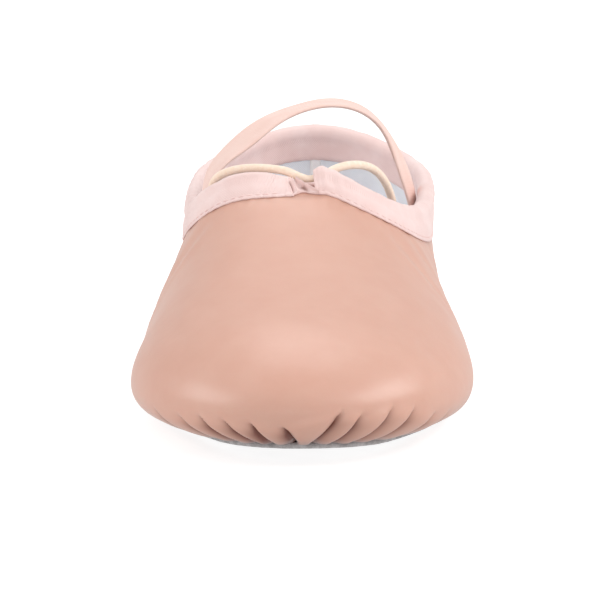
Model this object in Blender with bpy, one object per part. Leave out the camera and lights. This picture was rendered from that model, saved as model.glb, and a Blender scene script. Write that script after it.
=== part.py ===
"""A soft leather ballet slipper with a full suede sole, standing empty on the floor.

The upper is one hollow wall that wraps under the foot and is gathered in folds round the toe and heel.
A cotton casing is folded over its collar, two tails of an elastic drawstring leave the casing at the
throat, and an elastic strap arches over the instep.

Metres. The toe points along -Y, Z is up, and the floor is Z = 0. The origin is under the middle of the shoe.
"""

import math

import bmesh
import bpy
import numpy as np

# Overall sizes of the last
LENGTH = 0.232
BALL_WIDTH = 0.081
EDGE_HEIGHT = 0.0105
THROAT_HEIGHT = 0.0513
TOE_SPRING = 0.0045
ARCH_LIFT = 0.0020
RIDGE_OFFSET = 0.0054
FLANK_SLACK = 0.54
SIDE_SLACK = 0.06

# Collar of the leather, under its casing
THROAT_PLACE = 0.091
SIDE_COLLAR = 0.0346
HEEL_COLLAR = 0.0440
LOW_PLACE = 0.160
NECK_RISE = 0.0026
NECK_REACH = 0.0040

# Thicknesses and clearances
WALL = 0.0013
SOLE_THICKNESS = 0.0015
SOLE_BEVEL = 0.0004
INSOLE_THICKNESS = 0.0015
SOLE_INSET = 0.0055
TURNED_EDGE = 0.0050
CLEARANCE = 0.0003

# Folds that gather the leather in to the sole
FOLD_DEPTH = 0.0011
FOLD_SWELL = 0.0006
GATHER_SHIFT = 0.0040
GATHER_REACH = 0.0080
GATHER_END = 0.1100

# Casing folded over the collar
CASING_WIDTH = 0.0098
CASING_THICKNESS = 0.0008
CASING_SLIT = 0.0066
SLIT_PLACE = -0.0010

# Elastic drawstring, in the casing and in two free tails
CORD_DIAMETER = 0.0021
DRAWN_BACK = 0.0010
TUNNEL_SLACK = 0.00045

# Elastic strap over the instep
STRAP_WIDTH = 0.0120
STRAP_THICKNESS = 0.0012
STRAP_RISE = 0.0285
STRAP_LEFT_PLACE = 0.131
STRAP_RIGHT_PLACE = 0.163
STRAP_TAIL = 0.0125


def table(columns, *rows):
    """A dictionary of arrays, one for each named column."""
    return dict(zip(columns.split(), np.array(rows, float).T))


# The last, from toe to heel. along is a share of LENGTH, half_width of half BALL_WIDTH, edge of EDGE_HEIGHT,
# crest of THROAT_HEIGHT, ridge of RIDGE_OFFSET and inset of SOLE_INSET. edge is the height of the widest line
# over the sole, crest the top of the last, which behind the throat is a leg that the collar cuts off, and
# ridge how far that top lies towards -X.
SECTIONS = table(
    "along half_width edge crest ridge inset",
    (0.000, 0.985, 0.82, 0.478, 0.0, 1.65),
    (0.060, 0.990, 0.86, 0.526, 0.1, 2.20),
    (0.120, 0.995, 0.90, 0.595, 0.3, 2.40),
    (0.200, 1.000, 0.96, 0.682, 0.6, 1.75),
    (0.280, 0.982, 1.00, 0.789, 0.9, 1.15),
    (0.360, 0.965, 1.04, 0.912, 1.0, 0.90),
    (0.405, 0.935, 1.06, 1.000, 1.0, 0.86),
    (0.470, 0.880, 1.10, 1.140, 0.9, 0.82),
    (0.600, 0.820, 1.20, 1.520, 0.5, 0.80),
    (0.750, 0.805, 1.36, 2.030, 0.1, 0.90),
    (0.880, 0.780, 1.46, 2.260, 0.0, 1.05),
    (1.000, 0.760, 1.50, 2.300, 0.0, 1.10),
)

# How the two ends are rounded: zone is the share of LENGTH that the rounding takes up, power its squareness.
TOE_PLAN = {"zone": 0.250, "power": 2.30}
TOE_CREST = {"zone": 0.120, "power": 2.20}
HEEL_PLAN = {"zone": 0.175, "power": 2.20}
HEEL_CREST = {"zone": 0.400, "power": 3.00}

# Shares of LENGTH where the sole leaves the floor
SPRING_START = 0.260
ARCH_START = 0.450
ARCH_END = 0.700

# The collar falls from the throat in a short lip and a long sweep, as shares of the fall and of LENGTH.
LIP_SHARE, LIP_REACH = 0.31, 0.013
SWEEP_REACH = 0.085
AHEAD_OF_THROAT = 0.086
COLLAR_RISE_POWER = 4.6

# Near the collar the wall turns up into a neck, whose rise fades out along the sides at this share of LENGTH.
# The rise is a share of NECK_RISE at places across the throat, which are shares of BALL_WIDTH. It is low at the
# slit's left side, where the casing lies down under the cord.
NECK_END = 0.58
NECK = table(
    "across rise",
    (-0.50, 0.80),
    (-0.28, 0.90),
    (-0.16, 0.70),
    (-0.06, 0.15),
    (0.00, 0.35),
    (0.05, 0.95),
    (0.12, 0.80),
    (0.22, 0.40),
    (0.50, 0.25),
)

# The wall's lines run up and in to points on the centre line. These are shares of LENGTH.
FRONT_FAN, BACK_FAN, FAN_SOFTNESS = 0.487, 0.828, 0.034

# Toe folds. place is where the trough meets the widest line, a share of BALL_WIDTH from the toe's middle along
# the outline (+ is towards +X), and depth a share of FOLD_DEPTH.
TOE_FOLDS = table(
    "place depth",
    (-0.500, 0.45),
    (-0.378, 0.70),
    (-0.285, 0.90),
    (-0.200, 1.00),
    (-0.132, 1.00),
    (-0.045, 1.00),
    (0.100, 0.90),
    (0.170, 1.00),
    (0.255, 1.00),
    (0.335, 0.95),
    (0.455, 0.80),
    (0.560, 0.50),
)

# Heel folds, measured in the same way from the heel's middle
HEEL_FOLDS = table(
    "place depth",
    (-0.320, 0.35),
    (-0.210, 0.50),
    (-0.100, 0.55),
    (0.100, 0.55),
    (0.210, 0.50),
    (0.320, 0.35),
)

# Rings of the wall: shares of the way from the sole's edge up to the widest line, and on to the casing
LOWER_RINGS = (0.16, 0.34, 0.54, 0.76, 1.00)
UPPER_RINGS = (0.16, 0.34, 0.52, 0.69, 0.85, 1.00)

# The strap's middle line between its seats. across is a share of the way from left to right, back of the way
# from the left place to the right one, rise of STRAP_RISE, and roll is in degrees about the line.
STRAP_ARCH = table(
    "across back rise roll",
    (0.060, 0.08, 0.44, 10),
    (0.170, 0.20, 0.65, 12),
    (0.310, 0.34, 0.85, 8),
    (0.500, 0.52, 0.98, 0),
    (0.670, 0.70, 0.98, -3),
    (0.830, 0.88, 0.80, -3),
    (0.920, 0.96, 0.50, -2),
)
STRAP_STEPS = 48

# Routes of the drawstring's two tails, chosen by hand, from inside the casing to the end on the insole
LEFT_TAIL = (
    (0.0026, -0.0229, 0.0521),
    (0.0014, -0.0229, 0.0518),
    (0.0000, -0.0225, 0.0519),
    (-0.0020, -0.0217, 0.0525),
    (-0.0041, -0.0207, 0.0533),
    (-0.0070, -0.0198, 0.0538),
    (-0.0110, -0.0188, 0.0540),
    (-0.0150, -0.0175, 0.0537),
    (-0.0188, -0.0156, 0.0527),
    (-0.0220, -0.0126, 0.0507),
    (-0.0235, -0.0092, 0.0475),
    (-0.0238, -0.0062, 0.0430),
    (-0.0239, -0.0037, 0.0370),
    (-0.0240, -0.0020, 0.0300),
    (-0.0240, 0.0000, 0.0220),
    (-0.0237, 0.0028, 0.0148),
    (-0.0232, 0.0085, 0.0100),
    (-0.0226, 0.0170, 0.0087),
    (-0.0222, 0.0270, 0.0080),
    (-0.0216, 0.0400, 0.0069),
)
RIGHT_TAIL = (
    (-0.0043, -0.0231, 0.0506),
    (-0.0033, -0.0231, 0.0505),
    (-0.0022, -0.0227, 0.0502),
    (-0.0010, -0.0218, 0.0499),
    (0.0004, -0.0206, 0.0499),
    (0.0022, -0.0192, 0.0506),
    (0.0048, -0.0176, 0.0522),
    (0.0082, -0.0156, 0.0537),
    (0.0120, -0.0122, 0.0539),
    (0.0150, -0.0076, 0.0529),
    (0.0178, -0.0020, 0.0505),
    (0.0202, 0.0040, 0.0462),
    (0.0217, 0.0085, 0.0410),
    (0.0226, 0.0115, 0.0340),
    (0.0231, 0.0135, 0.0260),
    (0.0233, 0.0158, 0.0180),
    (0.0231, 0.0195, 0.0120),
    (0.0227, 0.0260, 0.0090),
    (0.0221, 0.0360, 0.0074),
    (0.0213, 0.0500, 0.0066),
)
TAIL_STEPS = 32

COLOURS = {
    "leather": (0.80, 0.50, 0.39),
    "cotton": (0.90, 0.68, 0.64),
    "elastic": (0.91, 0.66, 0.58),
    "cord": (0.92, 0.76, 0.62),
    "suede": (0.42, 0.40, 0.39),
    "lining": (0.72, 0.70, 0.69),
}
ROUGHNESS = {"leather": 0.42, "cotton": 0.85, "elastic": 0.75, "cord": 0.7, "suede": 0.95, "lining": 0.9}

# How finely the curves are worked out
OUTLINE_STEPS = 4000
SLOPE_STEP = 0.0015
BISECTIONS = 40
TURNED_STEPS, LOWER_STEPS, UPPER_STEPS = 4, 16, 48
STATIONS_PER_FOLD = 3
CORNER_STATION_STEP = 0.0070
SIDE_STATION_STEP = 0.0110
HEEL_STATION_STEP = 0.0055
SOLE_STATIONS = 104
CORD_SIDES = 6
RIM_TURNS = (-20, 35, 90, 145, 200)


def smooth_curve(places, values):
    """The natural cubic curve through the values, as a function of place."""
    places, values = np.asarray(places, float), np.asarray(values, float)
    gaps = np.diff(places)
    slopes = (np.diff(values, axis=0).T / gaps).T
    count = len(places)
    matrix, right = np.eye(count), np.zeros(values.shape)
    for i in range(1, count - 1):
        matrix[i, i - 1 : i + 2] = gaps[i - 1], 2 * (gaps[i - 1] + gaps[i]), gaps[i]
        right[i] = 6 * (slopes[i] - slopes[i - 1])
    bends = np.linalg.solve(matrix, right)

    def at(place):
        place = np.asarray(place, float)
        i = np.clip(np.searchsorted(places, place) - 1, 0, count - 2)
        shape = place.shape + (1,) * (values.ndim - 1)
        gap = gaps[i].reshape(shape)
        before = (place - places[i]).reshape(shape)
        after = gap - before
        left = (values[i] / gap - bends[i] * gap / 6) * after
        right = (values[i + 1] / gap - bends[i + 1] * gap / 6) * before
        return left + right + (bends[i] * after**3 + bends[i + 1] * before**3) / (6 * gap)

    return at


def through(points, count):
    """Evenly spread places on the smooth curve through the points. Each may hold more columns after x, y, z."""
    points = np.asarray(points, float)
    steps = np.linalg.norm(np.diff(points[:, :3], axis=0), axis=1)
    places = np.concatenate([[0], np.cumsum(steps)])
    return smooth_curve(places, points)(np.linspace(0, places[-1], count))


def smoothstep(share):
    share = np.clip(share, 0, 1)
    return share * share * (3 - 2 * share)


def unit(vectors):
    return vectors / np.maximum(np.linalg.norm(vectors, axis=-1, keepdims=True), 1e-12)


def with_height(plan, height):
    return np.concatenate([plan, height[..., None]], -1)


# The last

SECTION_CURVES = {name: smooth_curve(SECTIONS["along"], SECTIONS[name]) for name in list(SECTIONS)[1:]}


def section(column, along):
    return SECTION_CURVES[column](np.clip(along, 0, 1))


def along_at(y):
    return y / LENGTH + 0.5


def y_at(along):
    return (along - 0.5) * LENGTH


def rounding(share_from_end, zone, power):
    """From 0 at an end to 1 where its rounded zone stops, starting as steeply as an ellipse."""
    return np.sqrt(1 - np.clip(1 - share_from_end / zone, 0, 1) ** power)


def half_width(along):
    ends = rounding(along, **TOE_PLAN) * rounding(1 - along, **HEEL_PLAN)
    return BALL_WIDTH / 2 * section("half_width", along) * ends


def sole_lift(along):
    """Height of the sole's underside over the floor."""
    spring = TOE_SPRING * np.clip(1 - along / SPRING_START, 0, None) ** 2
    arch = np.clip((along - ARCH_START) / (ARCH_END - ARCH_START), 0, 1)
    return spring + ARCH_LIFT * np.sin(math.pi * arch) ** 2


def seat_height(along):
    """Height of the underside of the leather that is turned in over the sole."""
    return sole_lift(along) + SOLE_THICKNESS + CLEARANCE


def edge_height(along):
    """Height of the widest line of the last."""
    return sole_lift(along) + EDGE_HEIGHT * section("edge", along)


def crest_height(along):
    edge = edge_height(along)
    rise = THROAT_HEIGHT * section("crest", along) - edge
    return edge + rise * rounding(along, **TOE_CREST) * rounding(1 - along, **HEEL_CREST)


def last_height(plan):
    """Height of the last's upper half over points of the plan."""
    along = along_at(plan[..., 1])
    across = np.clip(plan[..., 0] / np.maximum(half_width(along), 1e-9), -1, 1)
    ridge = section("ridge", along)
    lean = RIDGE_OFFSET / (BALL_WIDTH / 2) - SIDE_SLACK * across**2
    leaning = across + lean * ridge * (1 - across**2)
    edge = edge_height(along)
    # The leather hangs a little slack in the flanks of the forefoot.
    return edge + (crest_height(along) - edge) * np.sqrt((1 - leaning**2) * (1 - FLANK_SLACK * ridge * leaning**4))


def collar_height(along):
    """Height of the leather's collar in side view. Ahead of the throat it runs up, clear of the last."""
    behind = np.maximum(along - THROAT_PLACE / LENGTH, -AHEAD_OF_THROAT)
    fall = crest_height(THROAT_PLACE / LENGTH) - SIDE_COLLAR
    lip = LIP_SHARE * np.exp(-behind / LIP_REACH)
    sweep = (1 - LIP_SHARE) * np.exp(-behind / SWEEP_REACH)
    low = LOW_PLACE / LENGTH
    rise = np.clip((along - low) / (1 - low), 0, 1) ** COLLAR_RISE_POWER
    return SIDE_COLLAR + fall * (lip + sweep) + (HEEL_COLLAR - SIDE_COLLAR) * rise


# The outline of the widest line, by distance from the toe's middle

FINE_ALONG = (1 - np.cos(np.linspace(0, math.pi, OUTLINE_STEPS))) / 2
FINE_X, FINE_Y = half_width(FINE_ALONG), y_at(FINE_ALONG)
FINE_DISTANCE = np.concatenate([[0], np.cumsum(np.hypot(np.diff(FINE_X), np.diff(FINE_Y)))])
HALF_GIRTH = FINE_DISTANCE[-1]


def signed(distance):
    """Distances past the heel are counted back round the other side."""
    return (distance + HALF_GIRTH) % (2 * HALF_GIRTH) - HALF_GIRTH


def outline(distance):
    """Plan points at distances from the toe's middle."""
    distance = signed(distance)
    x = np.interp(np.abs(distance), FINE_DISTANCE, FINE_X) * np.where(distance < 0, -1, 1)
    return np.stack([x, np.interp(np.abs(distance), FINE_DISTANCE, FINE_Y)], -1)


def outline_normal(distance):
    """Outward unit vectors across the outline."""
    run = outline(distance + SLOPE_STEP) - outline(distance - SLOPE_STEP)
    return unit(np.stack([run[..., 1], -run[..., 0]], -1))


def sole_edge(distance, further_in=0.0):
    """Plan points of the sole's edge, or further in, on the outline's normals."""
    edge = outline(distance)
    inset = SOLE_INSET * section("inset", along_at(edge[..., 1])) + further_in
    return edge - inset[..., None] * outline_normal(distance)


def gathered(distance):
    """Where a line of the wall meets the sole: the leather is drawn in towards the toe's middle."""
    distance = signed(distance)
    fade = 1 - smoothstep(np.abs(distance) / GATHER_END)
    return distance - GATHER_SHIFT * np.tanh(distance / GATHER_REACH) * fade


# The wall of the upper

NECK_CURVE = smooth_curve(NECK["across"], NECK["rise"])


def fan_point(y):
    """The y of the centre-line point that a wall line from this y runs to."""
    front, back, soft = y_at(FRONT_FAN), y_at(BACK_FAN), FAN_SOFTNESS * LENGTH
    y = front + soft * np.logaddexp(0, (y - front) / soft)
    return back - soft * np.logaddexp(0, (back - y) / soft)


def collar_share(start, end):
    """How far along each plan line from start to end the collar cuts it."""
    low, high = np.zeros(len(start)), np.full(len(start), 0.98)
    for _ in range(BISECTIONS):
        middle = (low + high) / 2
        plan = start + middle[:, None] * (end - start)
        below = last_height(plan) < collar_height(along_at(plan[:, 1]))
        low, high = np.where(below, middle, low), np.where(below, high, middle)
    return (low + high) / 2


def neck_rise(collar):
    """How far the neck lifts the collar over these points of the plan."""
    share = NECK_CURVE(np.clip(collar[:, 0] / BALL_WIDTH, -0.5, 0.5))
    throat = THROAT_PLACE / LENGTH
    fade = 1 - smoothstep((along_at(collar[:, 1]) - throat) / (NECK_END - throat))
    return NECK_RISE * share * fade


def wall_points(distance):
    """Points of the wall's outer face, a row for each distance, from the turned-in edge up to the collar."""
    edge, seam = outline(distance), sole_edge(gathered(distance))
    turned = sole_edge(gathered(distance), TURNED_EDGE)
    steps = np.linspace(0, 1, TURNED_STEPS, endpoint=False)[None, :, None]
    plan = turned[:, None] + steps * (seam - turned)[:, None]
    under = with_height(plan, seat_height(along_at(plan[..., 1])))

    turn = np.linspace(math.pi / 2, 0, LOWER_STEPS, endpoint=False)[None, :]
    plan = edge[:, None] + (1 - np.cos(turn))[..., None] * (seam - edge)[:, None]
    top, bottom = edge_height(along_at(edge[:, 1])), seat_height(along_at(seam[:, 1]))
    lower = with_height(plan, top[:, None] - np.sin(turn) * (top - bottom)[:, None])

    end = np.stack([np.zeros(len(edge)), fan_point(edge[:, 1])], -1)
    climb = (1 - np.cos(np.linspace(0, math.pi, UPPER_STEPS))) / 2
    share = collar_share(edge, end)[:, None] * climb
    plan = edge[:, None] + share[..., None] * (end - edge)[:, None]
    height = last_height(plan)
    height[:, 0] = top
    upper = with_height(plan, height)
    steps = np.linalg.norm(np.diff(upper, axis=1), axis=-1)
    short_of_collar = np.concatenate([np.cumsum(steps[:, ::-1], 1)[:, ::-1], np.zeros((len(steps), 1))], 1)
    upper[..., 2] += neck_rise(plan[:, -1])[:, None] * np.exp(-short_of_collar / NECK_REACH)
    return np.concatenate([under, lower, upper], 1)


class Wall:
    """The wall's outer face at a row of stations: its points, outward normals and lengths along each line."""

    def __init__(self, distance):
        self.distance = np.asarray(distance, float)
        self.points = wall_points(self.distance)
        across = wall_points(self.distance + SLOPE_STEP) - wall_points(self.distance - SLOPE_STEP)
        self.normals = unit(np.cross(across, np.gradient(self.points, axis=1)))
        steps = np.linalg.norm(np.diff(self.points, axis=1), axis=-1)
        self.lengths = np.concatenate([np.zeros((len(steps), 1)), np.cumsum(steps, 1)], 1)
        self.seam = self.lengths[:, TURNED_STEPS]
        self.widest = self.lengths[:, TURNED_STEPS + LOWER_STEPS]
        self.collar = self.lengths[:, -1]

    def at(self, length, inward=0.0):
        """One point for each station, at a length along its line and a distance in from the outer face."""
        length = np.broadcast_to(length, self.distance.shape)
        inward = np.broadcast_to(inward, self.distance.shape)
        faces = self.points - inward[:, None, None] * self.normals
        return np.array(
            [[np.interp(a, own, p[:, k]) for k in range(3)] for a, own, p in zip(length, self.lengths, faces)]
        )

    def up(self):
        """Unit vectors that carry on up the wall past the collar."""
        return unit(self.points[:, -1] - self.points[:, -3])


def fold_wave(distance, folds):
    """-1 in the troughs and +1 on the ridges between them, and each place's share of the depth."""
    places = folds["place"] * BALL_WIDTH
    troughs = np.concatenate([[2 * places[0] - places[1]], places, [2 * places[-1] - places[-2]]])
    depths = np.concatenate([[0], folds["depth"], [0]])
    i = np.clip(np.searchsorted(troughs, distance + SLOPE_STEP / 100) - 1, 0, len(troughs) - 2)
    share = np.clip((distance - troughs[i]) / (troughs[i + 1] - troughs[i]), 0, 1)
    wave = 2 * np.sqrt(np.sin(math.pi * share)) - 1
    return wave, depths[i] + (depths[i + 1] - depths[i]) * share


def fold_offset(distance, share_up):
    """How far out the folds push the wall, by the share of the way from the sole's edge to the widest line."""
    offset = np.zeros(np.shape(distance))
    for folds, middle in ((TOE_FOLDS, 0.0), (HEEL_FOLDS, HALF_GIRTH)):
        wave, depth = fold_wave(signed(distance - middle), folds)
        offset += depth * np.where(wave < 0, FOLD_DEPTH, FOLD_SWELL) * wave
    return offset * math.sin(math.pi * share_up) ** 0.8


def stations(per_fold):
    """Distances along the outline: close in the toe's folds and round the heel, wide along the sides."""
    places = TOE_FOLDS["place"] * BALL_WIDTH
    ends = [2 * places[0] - places[1], *places, 2 * places[-1] - places[-2]]
    found = [np.linspace(a, b, per_fold, endpoint=False) for a, b in zip(ends, ends[1:])]
    reach = HEEL_PLAN["zone"] * LENGTH
    spans = (
        (ends[-1], GATHER_END, CORNER_STATION_STEP),
        (GATHER_END, HALF_GIRTH - reach, SIDE_STATION_STEP),
        (HALF_GIRTH - reach, HALF_GIRTH + reach, HEEL_STATION_STEP),
        (HALF_GIRTH + reach, 2 * HALF_GIRTH - GATHER_END, SIDE_STATION_STEP),
        (2 * HALF_GIRTH - GATHER_END, 2 * HALF_GIRTH + ends[0], CORNER_STATION_STEP),
    )
    found += [np.linspace(a, b, round((b - a) / step), endpoint=False) for a, b, step in spans]
    return np.concatenate(found)


# Meshes


def material(name):
    made = bpy.data.materials.get(name)
    if made is None:
        made = bpy.data.materials.new(name)
        made.use_nodes = True
        shader = made.node_tree.nodes["Principled BSDF"]
        shader.inputs["Base Color"].default_value = (*COLOURS[name], 1)
        shader.inputs["Roughness"].default_value = ROUGHNESS[name]
        shader.inputs["Metallic"].default_value = 0
    return made


def mesh_object(name, points, faces, finish):
    mesh = bpy.data.meshes.new(name)
    mesh.from_pydata([tuple(p) for p in points], [], faces)
    shape = bmesh.new()
    shape.from_mesh(mesh)
    bmesh.ops.recalc_face_normals(shape, faces=shape.faces)
    # Faces that lie a small gap apart are then split alike.
    bmesh.ops.triangulate(shape, faces=shape.faces, quad_method="SHORT_EDGE")
    shape.to_mesh(mesh)
    shape.free()
    mesh.shade_smooth()
    mesh.set_sharp_from_angle(angle=math.radians(40))
    mesh.materials.append(material(finish))
    made = bpy.data.objects.new(name, mesh)
    bpy.context.scene.collection.objects.link(made)
    return made


def ring_faces(rings, per_ring, closed):
    """Quads between closed rings, each joined to the next, and the last to the first if closed."""
    faces = []
    for j in range(rings if closed else rings - 1):
        a, b = j * per_ring, (j + 1) % rings * per_ring
        for i in range(per_ring):
            k = (i + 1) % per_ring
            faces.append((a + i, a + k, b + k, b + i))
    return faces


def ladder_faces(start, count):
    """Rungs across a ring whose points i and count - i are opposite each other."""
    half = count // 2
    faces = [(start, start + 1, start + count - 1)]
    for i in range(1, half - 1):
        faces.append((start + i, start + i + 1, start + count - i - 1, start + count - i))
    faces.append((start + half - 1, start + half, start + half + 1))
    return faces


def swept_object(name, sections, finish):
    """A solid through a row of closed sections, with flat ends."""
    count = len(sections[0])
    faces = ring_faces(len(sections), count, closed=False)
    faces += [tuple(range(count)), tuple(range((len(sections) - 1) * count, len(sections) * count))]
    return mesh_object(name, np.concatenate(sections), faces, finish)


def plate_object(name, loops, finish):
    """A closed plate from loops that go from its top to its underside."""
    count = len(loops[0])
    faces = ring_faces(len(loops), count, closed=False)
    faces += ladder_faces(0, count) + ladder_faces((len(loops) - 1) * count, count)
    return mesh_object(name, np.concatenate(loops), faces, finish)


def plate_loop(further_in, base, extra):
    """A loop at an inset from the sole's edge, at a height over one that follows the sole's length."""
    distance = np.linspace(0, 2 * HALF_GIRTH, SOLE_STATIONS, endpoint=False)
    plan = sole_edge(distance, further_in)
    return with_height(plan, base(along_at(plan[:, 1])) + extra)


def make_outsole():
    loops = [
        plate_loop(SOLE_BEVEL, sole_lift, SOLE_THICKNESS),
        plate_loop(0, sole_lift, SOLE_THICKNESS - SOLE_BEVEL),
        plate_loop(0, sole_lift, SOLE_BEVEL),
        plate_loop(SOLE_BEVEL, sole_lift, 0),
    ]
    return plate_object("outsole", loops, "suede")


def make_insole():
    """A plate over the turned-in leather, with a step below it that fills the hole that the leather leaves."""
    under, inner = WALL + CLEARANCE, TURNED_EDGE + CLEARANCE
    loops = [
        plate_loop(SOLE_BEVEL, seat_height, under + INSOLE_THICKNESS),
        plate_loop(0, seat_height, under + INSOLE_THICKNESS - SOLE_BEVEL),
        plate_loop(0, seat_height, under),
        plate_loop(inner, seat_height, under),
        plate_loop(inner, seat_height, 0),
    ]
    return plate_object("insole", loops, "lining")


def casing_bore():
    return CORD_DIAMETER + 2 * TUNNEL_SLACK


def casing_leg():
    """How far the casing reaches down over the leather, below the collar's edge."""
    return CASING_WIDTH - CASING_THICKNESS - casing_bore() - CLEARANCE


def make_upper():
    distance = stations(STATIONS_PER_FOLD)
    wall = Wall(distance)
    rise = wall.collar - casing_leg() - wall.widest
    levels = [(0 * wall.seam, 0), (wall.seam, 0)]
    levels += [(wall.seam + share * (wall.widest - wall.seam), share) for share in LOWER_RINGS]
    levels += [(wall.widest + share * rise, 0) for share in UPPER_RINGS]
    levels += [(wall.collar, 0)]
    outer = [wall.at(length, -fold_offset(distance, share)) for length, share in levels]
    inner = [wall.at(length, WALL - fold_offset(distance, share)) for length, share in levels]
    rings = outer + inner[::-1]
    return mesh_object("upper", np.concatenate(rings), ring_faces(len(rings), len(distance), True), "leather")


def collar_wall(from_x, to_x):
    """The wall at the upper's own stations between two places of the throat, all the way round the heel."""
    near = np.linspace(-BALL_WIDTH / 2, BALL_WIDTH / 2, OUTLINE_STEPS // 20)
    across = wall_points(near)[:, -1, 0]
    start, end = np.interp((from_x, to_x), across, near)
    between = stations(1) % (2 * HALF_GIRTH)
    between = np.sort(between[(between > start) & (between < 2 * HALF_GIRTH + end)])
    return Wall(np.concatenate([[start], between, [2 * HALF_GIRTH + end]]))


def tunnel_middle(wall):
    """The middle of the casing's tunnel, over the leather's edge."""
    rim = wall.points[:, -1] - wall.normals[:, -1] * WALL / 2
    return rim + wall.up() * (CLEARANCE + casing_bore() / 2)


def casing_side(wall, off_leather, radius):
    """One face of the folded tape: up the outside of the leather, round the tunnel and down the inside."""
    middle, out, up = tunnel_middle(wall), wall.normals[:, -1], wall.up()
    foot = wall.collar - casing_leg()
    side = [wall.at(foot, -off_leather), wall.at(wall.collar, -off_leather)]
    for turn in np.radians(RIM_TURNS):
        side.append(middle + radius * (math.cos(turn) * out + math.sin(turn) * up))
    side += [wall.at(wall.collar, WALL + off_leather), wall.at(foot, WALL + off_leather)]
    return side


def make_casing():
    wall = collar_wall(SLIT_PLACE + CASING_SLIT / 2, SLIT_PLACE - CASING_SLIT / 2)
    outer = casing_side(wall, CLEARANCE + CASING_THICKNESS, casing_bore() / 2 + CASING_THICKNESS)
    inner = casing_side(wall, CLEARANCE, casing_bore() / 2)
    sections = np.stack(outer + inner[::-1], 1)
    return swept_object("collar_casing", sections, "cotton")


def make_drawstring():
    """The cord's length in the tunnel, drawn back a little from the casing's two mouths."""
    reach = CASING_SLIT / 2 + DRAWN_BACK
    wall = collar_wall(SLIT_PLACE + reach, SLIT_PLACE - reach)
    middle, out, up = tunnel_middle(wall), wall.normals[:, -1], wall.up()
    turns = np.arange(CORD_SIDES) * 2 * math.pi / CORD_SIDES
    rounds = [middle + CORD_DIAMETER / 2 * (math.cos(a) * out + math.sin(a) * up) for a in turns]
    return swept_object("drawstring", np.stack(rounds, 1), "cord")


def make_tail(name, route):
    """A free tail of the drawstring, round and cut square at its end."""
    points = through(route, TAIL_STEPS)
    curve = bpy.data.curves.new(name, "CURVE")
    curve.dimensions = "3D"
    curve.bevel_depth = CORD_DIAMETER / 2
    curve.bevel_resolution = 2
    curve.use_fill_caps = True
    spline = curve.splines.new("POLY")
    spline.points.add(len(points) - 1)
    for point, place in zip(spline.points, points):
        point.co = (*place, 1)
    curve.materials.append(material("cord"))
    made = bpy.data.objects.new(name, curve)
    bpy.context.scene.collection.objects.link(made)
    return made


def strap_seat(place, side):
    """Rows of the strap's middle line up one inner wall, each with its width's direction."""
    reach = np.array([-0.5, 0.0, 0.5]) * STRAP_WIDTH
    distance = np.interp(y_at(place / LENGTH), FINE_Y, FINE_DISTANCE) * side
    wall = Wall(distance + reach)
    behind = WALL / 2 + casing_bore() / 2 + CASING_THICKNESS + CLEARANCE + STRAP_THICKNESS / 2
    rows = []
    for above in (-1.0, -0.5, 0.0):
        edge, middle, other = wall.at(wall.collar + above * STRAP_TAIL, behind)
        rows.append(np.concatenate([middle, unit(other - edge) * side]))
    return rows


def make_strap():
    left, right = strap_seat(STRAP_LEFT_PLACE, -1), strap_seat(STRAP_RIGHT_PLACE, 1)
    start, end = left[-1][:3], right[-1][:3]
    arch = []
    for across, back, rise in zip(STRAP_ARCH["across"], STRAP_ARCH["back"], STRAP_ARCH["rise"]):
        share = np.array([across, back, across])
        arch.append(start + share * (end - start) + np.array([0, 0, rise * STRAP_RISE]))
    ahead = [start, *arch, end]
    rows = []
    for i, roll in enumerate(np.radians(STRAP_ARCH["roll"]), 1):
        run = unit(ahead[i + 1] - ahead[i - 1])
        back = unit(np.array([0, 1, 0]) - run[1] * run)
        rows.append(np.concatenate([ahead[i], math.cos(roll) * back + math.sin(roll) * np.cross(run, back)]))
    line = through(left + rows + right[::-1], STRAP_STEPS)
    middle = line[:, :3]
    run = unit(np.gradient(middle, axis=0))
    wide = unit(line[:, 3:] - np.sum(line[:, 3:] * run, 1, keepdims=True) * run)
    half_wide, half_thick = wide * STRAP_WIDTH / 2, np.cross(run, wide) * STRAP_THICKNESS / 2
    corners = ((-1, -1), (1, -1), (1, 1), (-1, 1))
    sections = np.stack([middle + a * half_wide + b * half_thick for a, b in corners], 1)
    return swept_object("instep_strap", sections, "elastic")


def main():
    for old in list(bpy.data.objects):
        bpy.data.objects.remove(old)
    make_outsole()
    make_insole()
    make_upper()
    make_casing()
    make_drawstring()
    make_tail("drawstring_left", LEFT_TAIL)
    make_tail("drawstring_right", RIGHT_TAIL)
    make_strap()


main()
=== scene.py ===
"""Looks of the soft leather ballet slipper: dense surfaces, creases, stitches, cloth and leather.

Metres, in the part's own frame: the toe points along -Y, Z is up, and the floor is Z = 0.
"""

import math

import bmesh
import bpy
import numpy as np
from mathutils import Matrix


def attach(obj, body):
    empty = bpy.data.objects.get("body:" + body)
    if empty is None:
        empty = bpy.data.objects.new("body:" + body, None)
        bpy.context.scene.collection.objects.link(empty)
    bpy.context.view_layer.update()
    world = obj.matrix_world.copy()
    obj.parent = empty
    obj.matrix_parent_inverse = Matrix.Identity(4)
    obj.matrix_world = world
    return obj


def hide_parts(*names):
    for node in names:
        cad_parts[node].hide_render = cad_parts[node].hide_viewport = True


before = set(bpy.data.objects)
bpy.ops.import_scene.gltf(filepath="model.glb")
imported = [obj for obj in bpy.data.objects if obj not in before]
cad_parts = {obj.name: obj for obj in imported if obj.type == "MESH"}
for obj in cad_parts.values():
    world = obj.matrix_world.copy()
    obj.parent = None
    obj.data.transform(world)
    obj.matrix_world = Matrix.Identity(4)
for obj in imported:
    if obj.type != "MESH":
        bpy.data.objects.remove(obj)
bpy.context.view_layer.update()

# Overall sizes of the last
LENGTH = 0.232
BALL_WIDTH = 0.081
EDGE_HEIGHT = 0.0105
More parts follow.
